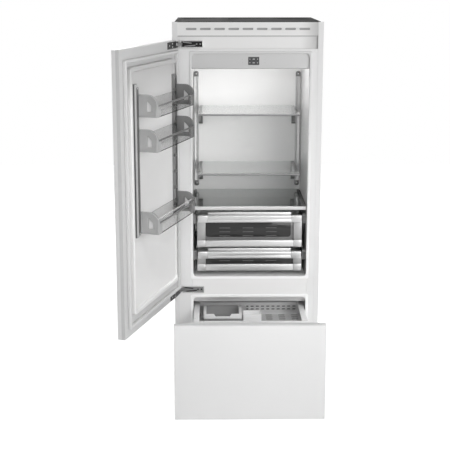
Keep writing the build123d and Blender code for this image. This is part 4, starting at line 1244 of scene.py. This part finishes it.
class FRIDGE_OT_hinges(bpy.types.Operator):
    """Model the hinge boxes with their links, the swing arms and the screws of the door plates"""

    bl_idname = "fridge.hinges"
    bl_label = "Hinges"

    def execute(self, context):
        sizes = context.scene.fridge_fittings
        low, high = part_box("hinge_brackets")
        levels = (hinge_level, low.z + high.z - hinge_level)
        backs = (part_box("divider")[0].y, high.y)
        boxes, arms = [], []
        # The two hinges are alike, yet take different floor and link finishes: the near-black of the hinge pit is
        # painted shade, below on the links and above on the floor.
        for name, level, back, floor_finish, link_finish in zip(
            ("lower", "upper"), levels, backs, ("block_grey", "hinge_pit_painted_shade"), ("hinge_pit_painted_shade", "trim_dark")
        ):
            start = Vector((high.x - sizes.bracket_length, front - sizes.bracket_proud, level))
            boxes.append(self.box(sizes, start, high.x, back))
            arms.append(self.arm(sizes, start))
            floor = self.floor(sizes, start, high.x)
            settle(f"{name}_hinge_floor", [floor], floor_finish)
            settle(f"{name}_hinge_links", self.links(sizes, start), link_finish)
        settle("hinge_boxes", boxes, "hinge_steel", replaces=["hinge_brackets"])
        settle("hinge_arms", arms, "trim_dark")
        self.plate_screws(sizes, levels)
        return {"FINISHED"}

    def box(self, sizes, start, end, back):
        """One hinge's hollow box, open to the front."""
        half = sizes.bracket_height / 2
        case = block("hinge box", (start.x, start.y, start.z - half), (end, back, start.z + half))
        sink_face(case, "-Y", sizes.bracket_wall, sizes.bracket_sink)
        return soft_edges(case, sizes.fine_round)

    def floor(self, sizes, start, end):
        """The floor of a hinge box."""
        wall, deep = sizes.bracket_wall, start.y + sizes.bracket_sink
        inset, half = wall * 1.3, sizes.bracket_height / 2 - wall * 1.3
        low = (start.x + inset, deep - 0.4 * wall, start.z - half)
        floor = block("floor", low, (end - inset, deep + SMALL, start.z + half))
        return soft_edges(floor, sizes.fine_round / 2)

    def links(self, sizes, start):
        """Two tilted links and two screws in a hinge box."""
        long, deep, tall = sizes.bracket_length, sizes.bracket_sink, sizes.bracket_height / 2
        made = []
        for run, span, tilt, lift in HINGE_LINKS:
            half = Vector((span * long / 2, deep * 0.28, tall * 0.11))
            link = bar("link", -half, half, Y, tall * 0.1, 4)
            place = start + Vector((run * long, deep * 0.55, lift * tall))
            link.data.transform(Matrix.Translation(place) @ Matrix.Rotation(math.radians(tilt), 4, "Y"))
            made.append(link)
        return made + [screw(start + Vector((run * long, deep * 0.6, 0)), "-Y") for run in LINK_SCREWS]

    def arm(self, sizes, start):
        """The swing arm from the box to the pin, with its round boss."""
        half, tall = sizes.arm_width / 2, sizes.arm_thickness / 2
        pivot = Vector((door_pivot.x, door_pivot.y, start.z))
        span = start + Vector((half, half, 0)) - pivot
        arm = block("arm", (0, -half, -tall), (span.length, half, tall))
        turned = Matrix.Rotation(math.atan2(span.y, span.x), 4, "Z")
        arm.data.transform(Matrix.Translation(pivot) @ turned)
        cut(arm, rod("boss", pivot, sizes.boss_radius, 2 * tall, Z), operation="UNION")
        cut(arm, rod("bore", pivot, sizes.pin_bore, 4 * tall, Z))
        return soft_edges(arm, sizes.fine_round)

    def plate_screws(self, sizes, levels):
        """Three screws in each dark plate on the door."""
        high = shut_box("hinge_plates")[1]
        reach, half = sizes.bracket_length, sizes.plate_height / 2
        places = [
            (high.x - reach + run * reach, high.y, level + lift * half)
            for level in levels
            for run, lift in PLATE_SCREWS
        ]
        screws("hinge_plate_screws", places, "+Y", "door")


class FRIDGE_OT_crisper_fronts(bpy.types.Operator):
    """Model both crisper fronts: posts, rail, handle with end caps, rim and smoked pane"""

    bl_idname = "fridge.crisper_fronts"
    bl_label = "Crisper fronts"

    def execute(self, context):
        sizes = context.scene.fridge_crispers
        for name in ("upper", "lower"):
            self.frame(sizes, name)
            self.pane(sizes, name)
        return {"FINISHED"}

    def frame(self, sizes, name):
        """The satin frame of one crisper."""
        low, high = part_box(f"{name}_crisper_front")
        face, foot = low.y + sizes.handle_proud, low.z + sizes.rail
        top = high.z - sizes.rim
        grip = top - sizes.handle_height
        post, cap = sizes.post, sizes.cap

        def strip(piece, inset, y, z, *end):
            """A part of the front between its sides, set in from both."""
            return block(piece, (low.x + inset, y, z), (high.x - inset, *end))

        rail = strip("rail", post + sizes.joint, face + sizes.rail_sink, low.z, high.y, foot)
        round_edges(rail, X, sizes.rail_round, 4, "-Y")
        handle = strip("handle", cap + sizes.joint, low.y + sizes.edge, grip, high.y, top)
        groove = grip + sizes.groove_level
        depth = low.y + sizes.edge + sizes.groove_depth
        hollow = (low.y + sizes.handle_wall, grip - OVER, face, grip + sizes.hollow_height)
        cut(handle, strip("groove", 0, low.y - OVER, groove, depth, groove + sizes.groove_height))
        cut(handle, strip("hollow", 0, *hollow))
        round_edges(handle, X, sizes.handle_round, 5, "-Y+Z")
        rim = strip("rim", cap + sizes.rim_inset, face + sizes.rim_sink, top, high.y, high.z)
        round_edges(rim, X, sizes.rim_round, 3, "-Y+Z")
        made, posts = [rail, handle, rim], []
        for x in (low.x, high.x - post):
            made.append(block("foot", (x, face, low.z), (x + post, high.y, foot)))
            tip = (x + post, high.y, grip + sizes.post_lap)
            posts.append(block("post", (x, face + sizes.post_sink, foot), tip))
        for x in (low.x + sizes.cap_inset, high.x - cap):
            tip = (x + cap - sizes.cap_inset, high.y - sizes.cap_setback, top)
            end = block("handle end", (x, low.y, grip - sizes.edge), tip)
            cut(end, strip("hollow", -OVER, *hollow))
            round_edges(end, X, sizes.handle_wall, 5, "-Y+Z")
            made.append(end)
        for piece in (*made, *posts):
            soft_edges(piece, sizes.edge)
        # The posts sit slightly back, and their darker finish is painted shade of that recess.
        settle(f"{name}_crisper_posts", posts, "post_grey_painted_shade", f"{name}_crisper")
        settle(f"{name}_crisper_frame", made, "trim_silver", f"{name}_crisper", [f"{name}_crisper_front"])

    def pane(self, sizes, name):
        """The smoked pane with a darker field and moulded louvres: three rows above, one below. The field is
        painted shade of the crisper's inside; on the upper crisper the lighter border left under it is painted
        light on the crisper's floor.
        """
        body, window = f"{name}_crisper", f"{name}_crisper_window"
        low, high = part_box(window)
        pane = soft_edges(block("pane", low, high), sizes.pane_round)
        settle(f"{name}_crisper_pane", [pane], "smoked_edge", body, [window])
        border = sizes.field_border if name == "upper" else 0.0
        inset = sizes.field_inset
        start = (low.x + inset, low.y - sizes.field_proud, low.z + border)
        # The dark field is painted shade laid over the pane.
        field = block("field", start, (high.x - border * 0.8 - inset, low.y + inset, high.z))
        if border:
            round_edges(field, Y, sizes.field_round, 6, "-Z")
        settle(f"{name}_crisper_painted_shade", [soft_edges(field, sizes.field_edge)], "smoked_plastic", body)
        levels = [low.z + sizes.louvre_rise]
        if name == "upper":
            levels = [high.z - sizes.louvre_drop - row * sizes.louvre_step for row in range(3)]
        middle, half = (low.x + high.x) / 2 - sizes.louvre_shift, sizes.louvre_length / 2
        tall, root = sizes.louvre_height, low.y - sizes.field_proud / 2
        ribs = []
        for level in levels:
            for offset in rows(3, sizes.louvre_pitch):
                start = (middle + offset - half, low.y - tall, level)
                end = (middle + offset + half, root, level + tall)
                ribs.append(bar("louvre", start, end, Y, sizes.louvre_round, 2))
        settle(f"{name}_crisper_louvres", ribs, "smoked_edge", body)


class FRIDGE_OT_runner_blocks(bpy.types.Operator):
    """Model the grey runner blocks beside both crispers"""

    bl_idname = "fridge.runner_blocks"
    bl_label = "Runner blocks"

    def execute(self, context):
        sizes = context.scene.fridge_crispers
        gap, deep, edge = sizes.runner_gap, sizes.runner_depth, sizes.runner_round
        wall_low, wall_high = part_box("crisper_supports")
        made = []
        for name in ("upper", "lower"):
            low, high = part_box(f"{name}_crisper_front")
            top = high.z - sizes.rim
            for start, end in ((wall_low.x, low.x - gap), (high.x + gap, wall_high.x)):
                foot = (start, high.y, top - sizes.runner_height)
                runner = bar("runner block", foot, (end, high.y + deep, top), X, deep * 0.3, 4, "-Y")
                sink_face(runner, "-Y", edge * 3, edge)
                made.append(soft_edges(runner, edge))
        settle("crisper_runner_blocks", made, "block_grey")
        return {"FINISHED"}


class FRIDGE_OT_shelves(bpy.types.Operator):
    """Model the shelf trims, the heads of the shelf brackets and the slotted rear rails with their ends"""

    bl_idname = "fridge.shelves"
    bl_label = "Shelves and rails"

    def execute(self, context):
        sizes = context.scene.fridge_interior
        low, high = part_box("glass_shelves")
        levels = (high.z, low.z + sizes.shelf_glass)
        trims = [self.trim(sizes, low, high, level) for level in levels]
        settle("shelf_front_trims", trims, "trim_dark", replaces=["shelf_trims"])
        self.cover_trim(sizes)
        low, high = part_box("shelf_rails")
        starts = (low.x + sizes.rail_width, high.x - sizes.rail_width - sizes.head_width)
        tops = [level - sizes.shelf_glass for level in levels]
        heads = [self.head(sizes, start, low.y, top) for top in tops for start in starts]
        settle("shelf_bracket_heads", heads, "rail_dark")
        self.rails(sizes, low, high)
        self.rail_ends(sizes, low, high)
        return {"FINISHED"}

    def trim(self, sizes, low, high, level):
        """The rounded strip on the front edge of a glass shelf."""
        deep = sizes.trim_depth
        start = (low.x, low.y - deep, level - sizes.trim_height)
        end = (high.x, low.y, level + sizes.trim_lip)
        trim = bar("shelf trim", start, end, X, deep * TRIM_ROUND, 4, "-Y")
        start = (low.x - SMALL, low.y - deep / 2, level - sizes.shelf_glass)
        cut(trim, block("groove", start, (high.x + SMALL, low.y + SMALL, level)))
        return trim

    def cover_trim(self, sizes):
        """The broad satin strip on the front edge of the crisper cover."""
        low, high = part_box("crisper_cover")
        end = (high.x, low.y, high.z + sizes.trim_lip)
        trim = bar("trim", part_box("shelf_trims")[0], end, X, sizes.trim_depth * TRIM_ROUND, 4, "-Y")
        sink_face(trim, "-Z", sizes.trim_depth / 4, sizes.trim_height / 2)
        settle("crisper_cover_trim", [trim], "trim_silver")

    def head(self, sizes, start, back, top):
        """The moulded block in which a shelf's arm hooks into its rail."""
        wide, deep = sizes.head_width, sizes.head_depth
        foot = (start, back - deep, top - sizes.head_height)
        head = bar("bracket head", foot, (start + wide, back, top), X, deep * 0.5, 4, "-Y-Z")
        sink_face(head, "-Y", wide / 6, deep / 8)
        return soft_edges(head, sizes.trim_lip)

    def rails(self, sizes, low, high):
        """Both rear channels with their row of slots."""
        width = sizes.rail_width
        rail = bar("shelf rail", low, (low.x + width, high.y, high.z), Y, width * RAIL_ROUND, 5)
        sink_face(rail, "-Y", width * 0.2, (high.y - low.y) * 0.4)
        middle, half, tall = low.x + width / 2, sizes.slot_width / 2, sizes.slot_height / 2
        slots = []
        for offset in rows(sizes.slot_count, sizes.slot_pitch):
            level = (low.z + high.z) / 2 + offset
            end = (middle + half, high.y - 5 * SMALL, level + tall)
            slots.append(block("slot", (middle - half, low.y - width, level - tall), end))
        cut(rail, join(slots))
        soft_edges(rail, sizes.trim_lip)
        twin = copy_to(rail, (high.x - low.x - width, 0, 0))
        settle("shelf_rails_slotted", [rail, twin], "rail_grey", replaces=["shelf_rails"])

    def rail_ends(self, sizes, low, high):
        """A dark end with a screw at each end of both rear channels."""
        width, tall, lip = sizes.rail_width, sizes.rail_end, sizes.trim_lip
        ends, places = [], []
        for start in (low.x, high.x - width):
            for foot, side in ((low.z, "-Z"), (high.z - tall, "+Z")):
                corner = (start + SMALL, low.y - lip, foot)
                tip = (start + width - SMALL, low.y + sizes.trim_depth / 2, foot + tall)
                end = bar("rail end", corner, tip, Y, width * RAIL_ROUND, 5, side)
                ends.append(soft_edges(end, lip))
                places.append((start + width / 2, low.y - lip, foot + tall / 2))
        settle("shelf_rail_ends", ends, "rail_dark")
        screws("shelf_rail_screws", places, "-Y")


class FRIDGE_OT_openings(bpy.types.Operator):
    """Model the lips round both openings, a painted shadow strip under the grille and the plate behind it"""

    bl_idname = "fridge.openings"
    bl_label = "Opening lips"

    def execute(self, context):
        sizes = context.scene.fridge_interior
        low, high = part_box("fridge_liner")
        self.ring(sizes, "fridge_lip", low, high, closed=True)
        low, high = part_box("freezer_liner")
        low.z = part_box("side_trims")[0].z
        high.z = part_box("divider")[0].z + sizes.bevel_rise
        self.ring(sizes, "freezer_lip", low, high, closed=False)
        self.seam(sizes)
        self.backing(sizes)
        return {"FINISHED"}

    def ring(self, sizes, name, low, high, closed):
        """A bead of lining round an opening, with rounded inner corners; open below unless closed."""
        bead, lap, deep = sizes.lip_width, sizes.lip_lap, sizes.lip_depth
        start = (low.x - bead, front - sizes.lip_proud, low.z - (bead if closed else 0))
        end = (high.x + bead, front + deep, high.z + bead)
        outer = bar("lip", start, end, Y, bead, 4, "" if closed else "+Z")
        start = (low.x + lap, front - bead, low.z + lap if closed else low.z - bead)
        end = (high.x - lap, front + 2 * deep, high.z - lap)
        cut(outer, bar("opening", start, end, Y, sizes.lip_corner, 6))
        # The bead's brighter white and its darkening towards the top are painted light and shade.
        settle(name, [soft_edges(outer, sizes.lip_round, 3)], "lip_white_painted_light")

    def seam(self, sizes):
        """A grey strip where the grille laps over the hinge rail: a painted shadow under the grille's edge."""
        low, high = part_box("hinge_rail")
        top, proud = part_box("vent_grille")[0].z, sizes.lip_proud
        end = (high.x, low.y + sizes.backing_gap, top)
        strip = bar("seam", (low.x, low.y - proud, top - sizes.seam_height), end, X, proud, 2)
        settle("grille_seam_painted_shadow", [strip], "slot_grey_painted_shade")

    def backing(self, sizes):
        """A folded plate behind the grille's slots, grey as painted shade in them."""
        low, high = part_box("vent_grille")
        gap = sizes.backing_gap
        start = (low.x * 0.9, high.y + gap, low.z * 0.8 + high.z * 0.2)
        end = (high.x * 0.9, high.y + gap * 2, low.z * 0.2 + high.z * 0.8)
        plate = bar("plate", start, end, X, gap * 0.45, 2)
        settle("grille_backing", [plate], "slot_grey_painted_shade")


# Shares of the display's width and height
MARK_NARROW, MARK_WIDE, MARK_COLUMN = 0.04, 0.1, 0.34
MARK_TALL, MARK_ROW, DOT_ROW = 0.055, 0.22, 0.2


class FRIDGE_OT_controls(bpy.types.Operator):
    """Model the generic marks of the display, its bezel and the key dots beside it"""

    bl_idname = "fridge.controls"
    bl_label = "Controls"

    def execute(self, context):
        sizes = context.scene.fridge_interior
        low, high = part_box("display_window")
        middle, face, edge = (low + high) / 2, low.y, sizes.bezel_width
        width, tall = high.x - low.x, high.z - low.z
        bezel = block("bezel", low, (high.x, face + sizes.trim_lip, high.z))
        cut(bezel, block("glass", low + Vector((edge, -edge, edge)), high + Vector((-edge, edge, -edge))))
        bezel.data.transform(Matrix.Translation((0, -2 * SMALL, 0)))
        settle("display_bezel", [soft_edges(bezel, SMALL)], "trim_dark")
        marks, dots = [], []
        for row in (-1, 1):
            for column in (-1, 0, 1):
                wide = MARK_NARROW if column else MARK_WIDE
                half = Vector((width * wide, SMALL * 2, tall * MARK_TALL))
                level = middle.z + row * tall * MARK_ROW
                place = Vector((middle.x + column * width * MARK_COLUMN, face, level))
                marks.append(bar("mark", place - half, place + half, Y, half.z * 0.6, 3))
            for side in (-1, 1):
                place = (middle.x + side * width, face, middle.z + row * tall * DOT_ROW)
                dots.append(soft_edges(rod("dot", place, sizes.dot_radius, 4 * SMALL, Y, 20), SMALL))
        settle("display_marks", marks, "mark_light")
        settle("key_dots", dots, "mark_dim")
        return {"FINISHED"}


class FRIDGE_OT_freezer_fittings(bpy.types.Operator):
    """Model the tray's rim, screws, dark plates of painted shade and grip strips, the notched ice bin and the
    storage box
    """

    bl_idname = "fridge.freezer_fittings"
    bl_label = "Freezer fittings"

    def execute(self, context):
        sizes = context.scene.fridge_interior
        low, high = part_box("freezer_tray")
        inner = (low.x + sizes.tray_side, high.x - sizes.tray_side)
        self.rim(sizes, low, high)
        self.screens(sizes, low, high, inner)
        self.strips(sizes, low, high, inner)
        places = [(x, low.y + sizes.screw_setback, high.z) for x in inner]
        screws("tray_screws", places, "+Z", "freezer_tray")
        self.ice_bin(sizes)
        self.storage(sizes)
        return {"FINISHED"}

    def rim(self, sizes, low, high):
        """The white bar along the tray's front and the broad lips along its sides."""
        wall, lip, rise = sizes.tray_wall, sizes.side_lip, sizes.rim_rise
        end = (high.x, low.y + 2 * wall, high.z + rise)
        bars = [block("front rim", (low.x, low.y - wall / 3, high.z - sizes.rim_height), end)]
        for start in (low.x + 4 * SMALL, high.x - 4 * SMALL - lip):
            end = (start + lip, high.y, high.z + rise / 3)
            bars.append(block("side lip", (start, low.y + 2 * wall, high.z - wall), end))
        for piece in bars:
            sink_face(piece, "-Z", wall / 4, wall / 2)
            soft_edges(piece, wall / 3, 3)
        settle("tray_rim", bars, "tray_white", "freezer_tray")

    def screens(self, sizes, low, high, inner):
        """Dark sunk plates behind the vents and under the slots of the tray: painted shade where what lies behind
        them is in shade.
        """
        wall, middle = sizes.tray_wall, sum(inner) / 2
        side = inner[1] - wall
        start = (middle - wall * 3, high.y, low.z + wall * 3)
        back = block("vent shade plate", start, (side, high.y + wall / 4, high.z - wall * 2))
        sink_face(back, "+Y", wall, wall / 8)
        start = (middle + wall * 20, low.y + wall * 2, low.z - wall / 4)
        under = block("slot shade plate", start, (side, high.y - wall * 2, low.z))
        sink_face(under, "-Z", wall, wall / 8)
        settle("tray_vent_painted_shade", [back, under], "runner_grey", "freezer_tray")

    def strips(self, sizes, low, high, inner):
        """Dark grip strips on the tray's floor, in columns."""
        half = Vector((sizes.strip_length / 2, sizes.strip_width / 2, sizes.tray_wall / 5))
        made = []
        for column in rows(sizes.strip_columns, sizes.strip_pitch):
            for row in range(sizes.strip_rows):
                back = high.y - sizes.strip_row_pitch * (row + 0.7)
                place = Vector((inner[1] - sizes.strip_margin + column, back, low.z + sizes.tray_wall))
                made.append(bar("grip strip", place - half, place + half, Z, half.y * FULL_ROUND, 4))
        settle("tray_grip_strips", made, "runner_grey", "freezer_tray")

    def ice_bin(self, sizes):
        """The ice bin: a trough behind a shelf, grey as painted shade on the white moulding, a white front with a
        notch and broad white lips.
        """
        low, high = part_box("ice_bin")
        wall, lip = sizes.tray_wall, sizes.side_lip / 2
        face, middle, reach = low.y + sizes.ice_setback, (low.x + high.x) / 2, sizes.notch_width / 2
        trough = block("trough", (low.x + wall, face, low.z), (high.x - wall, high.y, high.z - wall))
        start = (low.x + 2 * wall, face + wall, low.z + wall)
        cut(trough, bar("hollow", start, (high.x - 2 * wall, high.y - wall, high.z + wall), Z, wall, 3))
        start = (middle - reach, face - 2 * wall, high.z - sizes.notch_drop)
        notch = block("notch", start, (middle + reach, face + 2 * wall, high.z + wall))
        with editing(notch) as mesh:
            pick_side(mesh, "-Z")
            bpy.ops.transform.resize(value=(sizes.notch_taper, 1, 1))
        start = (low.x, face - wall, high.z - sizes.ice_band)
        band = block("band", start, (high.x, face + wall / 2, high.z))
        cut(band, copy_to(notch))
        cut(trough, notch)
        shelf = block("shelf", (low.x + lip, low.y, low.z), (high.x - lip, face + wall, low.z + wall))
        sink_face(shelf, "+Z", wall, wall / 3)
        white = [band]
        for start in (low.x, high.x - lip):
            edge = block("lip", (start, face, high.z - wall), (start + lip, high.y, high.z))
            sink_face(edge, "-Z", wall / 3, wall / 4)
            white.append(edge)
        for piece in (trough, shelf, *white):
            soft_edges(piece, wall / 5)
        settle("ice_bin_trough", [trough, shelf], "ice_trough_painted_shade", "freezer_tray", ["ice_bin"])
        settle("ice_bin_front", white, "tray_white", "freezer_tray")

    def storage(self, sizes):
        """The low storage box beside the ice bin."""
        low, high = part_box("storage_box")
        wall, face = sizes.tray_wall, low.y + sizes.ice_setback
        back = face + sizes.storage_length
        box = bar("box", (low.x, face, low.z), (high.x, back, high.z), Z, wall * 1.5, 4)
        start = (low.x + wall, face + wall, low.z + wall)
        cut(box, bar("hollow", start, (high.x - wall, back - wall, high.z + wall), Z, wall, 3))
        soft_edges(box, wall / 4)
        settle("storage_box_moulded", [box], "tray_white", "freezer_tray", ["storage_box"])


def louvres(sizes, columns, lines, face, level, *rounding):
    """Louvres in columns and lines on an upright face."""
    half = Vector((sizes.louvre_length, sizes.press_depth, sizes.louvre_height)) / 2
    places = [Vector((column, face, level + line)) for column in columns for line in lines]
    return [bar("louvre", place - half, place + half, *rounding) for place in places]


class FRIDGE_OT_outer_shell(bpy.types.Operator):
    """Model the pressed back sheet with its cover, the top sheet, the side hems and the niche brackets"""

    bl_idname = "fridge.outer_shell"
    bl_label = "Outer shell"

    def execute(self, context):
        sizes = context.scene.fridge_shell
        tall = context.scene.fridge_fittings.screw_height
        low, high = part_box("back_wall")
        self.back_sheet(sizes, low, high, tall)
        self.service_cover(sizes, low, high, tall)
        self.top_sheet(sizes, tall)
        self.hems(sizes, low, high)
        self.brackets(sizes)
        return {"FINISHED"}

    def back_sheet(self, sizes, low, high, tall):
        """The back wall with a pressed field, stiffening ribs and screws along its border."""
        border, press, half = sizes.sheet_border, sizes.press_depth, sizes.rib_width / 2
        sheet = block("sheet", low, high)
        sink_face(sheet, "+Y", border, press)
        made = [soft_edges(sheet, press / 3)]
        reach = high.x - 2 * border
        for number in range(sizes.rib_count):
            level = low.z + (high.z - low.z) * (number + 2) / (sizes.rib_count + 2)
            start = (-reach, high.y - 2 * press, level - half)
            rib = bar("rib", start, (reach, high.y - press / 4, level + half), Y, half * FULL_ROUND, 6)
            made.append(soft_edges(rib, press / 2, 3))
        settle("back_sheet", made, "cabinet_white", replaces=["back_wall"])
        side, middle = high.x - border / 2, (low.z + high.z) / 2
        levels = rows(sizes.screw_rows, (high.z - low.z - 2 * border) / (sizes.screw_rows - 1))
        places = [(x, high.y - tall, middle + level) for level in levels for x in (-side, side)]
        screws("back_sheet_screws", places, "+Y")

    def service_cover(self, sizes, low, high, tall):
        """The louvred cover low on the back."""
        press, half = sizes.press_depth, sizes.cover_width / 2
        face, foot = high.y - press / 4, low.z + 1.5 * sizes.sheet_border
        top = foot + sizes.cover_height
        start = (-half, high.y - press - SMALL, foot)
        plate = bar("cover", start, (half, face, top), Y, sizes.rib_width / 2, 5)
        columns = rows(sizes.louvre_columns, sizes.louvre_length * 1.5)
        lines = rows(sizes.louvre_rows, sizes.louvre_height * 2.6)
        rounding = (Y, sizes.louvre_height / 2 * FULL_ROUND, 4)
        cut(plate, join(louvres(sizes, columns, lines, face, (foot + top) / 2, *rounding)))
        settle("back_service_cover", [soft_edges(plate, SMALL * 3)], "slide_steel")
        inset, level = sizes.rib_width * 0.6, face - tall * 0.8
        sides, ends = (inset - half, half - inset), (foot + inset, top - inset)
        screws("back_cover_screws", [(x, level, z) for x in sides for z in ends], "+Y")

    def top_sheet(self, sizes, tall):
        """The dark top sheet with pressed fields and screws."""
        low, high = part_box("top_cover")
        border, wide = sizes.sheet_border, (high.x - low.x) / sizes.field_count
        half = wide / 2 - border
        sheet = block("sheet", low, high)
        for offset in rows(sizes.field_count, wide):
            start = (offset - half, low.y + border * 2, (low.z + high.z) / 2)
            end = (offset + half, high.y - border * 2, high.z + OVER)
            cut(sheet, bar("field", start, end, Z, sizes.rib_width, 6))
        settle("top_sheet", [soft_edges(sheet, SMALL * 3)], "dark_sheet", replaces=["top_cover"])
        offsets = rows(sizes.field_count + 1, wide * 0.9)
        places = [(x, y, high.z - tall) for y in (low.y + border, high.y - border) for x in offsets]
        screws("top_sheet_screws", places, "+Z", finish="hinge_black")

    def hems(self, sizes, low, high):
        """The folded hems of the side sheets along the back edge and the foot."""
        wide, thick = sizes.hem_width, sizes.hem_thickness
        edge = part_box("side_wall_left")[0].y
        made = []
        for sign in (-1, 1):
            near, far = sorted((sign * high.x, sign * (high.x + thick)))
            made.append(block("back hem", (near, high.y - wide, low.z), (far, high.y, high.z)))
            made.append(block("foot hem", (near, edge, low.z), (far, high.y - wide, low.z + wide)))
        for hem in made:
            soft_edges(hem, thick * 0.45, 3)
        settle("side_hems", made, "cabinet_white")

    def brackets(self, sizes):
        """Slotted steel brackets on both sides, which fix the cabinet in its niche."""
        low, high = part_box("side_wall_right")
        edge, half = low.y + sizes.bracket_setback, sizes.bracket_tall / 2
        reach, wide, thick = sizes.bracket_reach, sizes.hem_width, sizes.hem_thickness
        slot = Vector((wide, sizes.louvre_height / 2, half / 2))
        plates, heads = [], []
        for number in range(sizes.bracket_count):
            level = low.z + (high.z - low.z) * (number + 0.5) / sizes.bracket_count
            end = (high.x + thick * 2, edge + reach, level + half)
            plate = bar("niche bracket", (high.x, edge, level - half), end, X, wide / 3, 4)
            for run in (0.3, 0.7):
                middle = Vector((high.x, edge + reach * run, level))
                cut(plate, bar("slot", middle - slot, middle + slot, X, slot.y * FULL_ROUND, 4))
                heads.append(screw(middle, "+X"))
            plates.append(soft_edges(plate, thick / 2))
        plates += [copy_to(plate, mirrored=True) for plate in plates]
        heads += [copy_to(head, mirrored=True) for head in heads]
        settle("niche_brackets", plates, "trim_dark")
        settle("niche_bracket_screws", heads, "hinge_steel")


class FRIDGE_OT_base_fittings(bpy.types.Operator):
    """Model the threads and nuts of the feet, the kick plate's louvres and the compressor's fittings"""

    bl_idname = "fridge.base_fittings"
    bl_label = "Base fittings"

    def execute(self, context):
        sizes = context.scene.fridge_shell
        self.feet(sizes)
        self.kick_plate(sizes)
        self.compressor(sizes)
        return {"FINISHED"}

    def feet(self, sizes):
        """A hexagon nut and thread rings on each levelling foot."""
        low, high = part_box("levelling_feet")
        pad, tall, step = sizes.pad_radius, sizes.nut_height, sizes.thread_pitch
        nut = rod("nut", (0, 0, high.z - tall), sizes.nut_radius, tall, Z, 6)
        with editing(nut) as mesh:
            pick_side(mesh, "-Z")
            bpy.ops.mesh.inset(thickness=sizes.nut_radius * 0.12)
            bpy.ops.transform.translate(value=(0, 0, -tall * 0.15))
        start = sizes.pad_height + step
        turns = int((high.z - 1.7 * tall - start) / step)
        rings = [
            rod("thread", (0, 0, start + turn * step), sizes.stem_radius * 1.12, step * 0.55, Z, 20)
            for turn in range(turns)
        ]
        thread = join([soft_edges(ring, step * 0.22) for ring in rings])
        places = [(x, y, 0) for x in (low.x + pad, high.x - pad) for y in (low.y + pad, high.y - pad)]
        for name, piece in (("foot_nuts", nut), ("foot_threads", thread)):
            settle(name, [copy_to(piece, place) for place in places], "hinge_steel")
            bpy.data.objects.remove(piece)

    def kick_plate(self, sizes):
        """Raised louvres and screws on the kick plate."""
        low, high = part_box("kick_plate")
        level, tall = (low.z + high.z) / 2, sizes.louvre_height
        columns, lines = rows(sizes.kick_columns, sizes.louvre_length * 1.6), rows(2, tall * 3.5)
        made = louvres(sizes, columns, lines, low.y, level, X, tall / 2 * 1.2, 4, "-Y+Z")
        settle("kick_plate_louvres", made, "dark_sheet")
        side = high.x - sizes.sheet_border
        screws("kick_plate_screws", [(x, low.y, level) for x in (-side, side)], "-Y")

    def compressor(self, sizes):
        """The compressor's terminal cover, welded seam and two bent copper pipes."""
        low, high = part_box("compressor")
        middle, radius = (low + high) / 2, (high.y - low.y) / 2
        pipe, nut, pad = sizes.pipe_radius, sizes.nut_radius, sizes.pad_radius
        seam = rod("seam", middle, radius + pipe * 0.7, pipe * 2, Z, 64)
        settle("compressor_seam", [soft_edges(seam, pipe * 0.6, 3)], "compressor_black")
        half, place = Vector((nut, pad, pad)), middle + along(X, radius)
        cover = bar("cover", place - half, place + half, X, nut / 2, 5)
        sink_face(cover, "+X", nut / 3, sizes.press_depth / 2)
        settle("compressor_terminal_cover", [cover], "foot_black")
        pipes = []
        for side in (-1, 1):
            stand = middle + Vector((-radius - pipe, side * radius / 2, 0))
            bent = rod("pipe", stand, pipe, radius, Z, 16)
            centre = stand + Vector((-4 * pipe, 0, radius / 2))
            bend_end(bent, "+Z", 10, centre, -INWARD, (-radius * (2 + side), 0, 0))
            pipes.append(bent)
        settle("compressor_pipes", pipes, "copper_pipe")


class FRIDGE_PT_panel(bpy.types.Panel):
    """Lists the refrigerator's operators and settings"""

    bl_idname = "FRIDGE_PT_panel"
    bl_label = "Refrigerator"
    bl_space_type = "VIEW_3D"
    bl_region_type = "UI"
    bl_category = "Refrigerator"

    def draw(self, context):
        for operator in OPERATORS:
            self.layout.operator(operator.bl_idname)
        for group in (getattr(context.scene, name) for name in SETTINGS):
            for key in group.__annotations__:
                self.layout.prop(group, key)


OPERATORS = (
    FRIDGE_OT_finishes,
    FRIDGE_OT_door_lining,
    FRIDGE_OT_door_bins,
    FRIDGE_OT_hinges,
    FRIDGE_OT_crisper_fronts,
    FRIDGE_OT_runner_blocks,
    FRIDGE_OT_shelves,
    FRIDGE_OT_openings,
    FRIDGE_OT_controls,
    FRIDGE_OT_freezer_fittings,
    FRIDGE_OT_outer_shell,
    FRIDGE_OT_base_fittings,
    FRIDGE_OT_stage,
)
SETTINGS = {
    "fridge_finishes": FridgeFinishes,
    "fridge_fittings": FridgeFittings,
    "fridge_crispers": FridgeCrispers,
    "fridge_interior": FridgeInterior,
    "fridge_shell": FridgeShell,
    "fridge_studio": FridgeStudio,
}


def register():
    """Add the classes and their settings to Blender."""
    for made in (*SETTINGS.values(), *OPERATORS, FRIDGE_PT_panel):
        bpy.utils.register_class(made)
    for name, made in SETTINGS.items():
        setattr(bpy.types.Scene, name, PointerProperty(type=made))


def unregister():
    """Take the classes and their settings out of Blender."""
    for name in SETTINGS:
        delattr(bpy.types.Scene, name)
    for made in (FRIDGE_PT_panel, *reversed(OPERATORS), *SETTINGS.values()):
        bpy.utils.unregister_class(made)


def main():
    """Run every operator in order."""
    register()
    for operator in OPERATORS:
        group, name = operator.bl_idname.split(".")
        getattr(getattr(bpy.ops, group), name)()


if __name__ == "__main__":
    main()
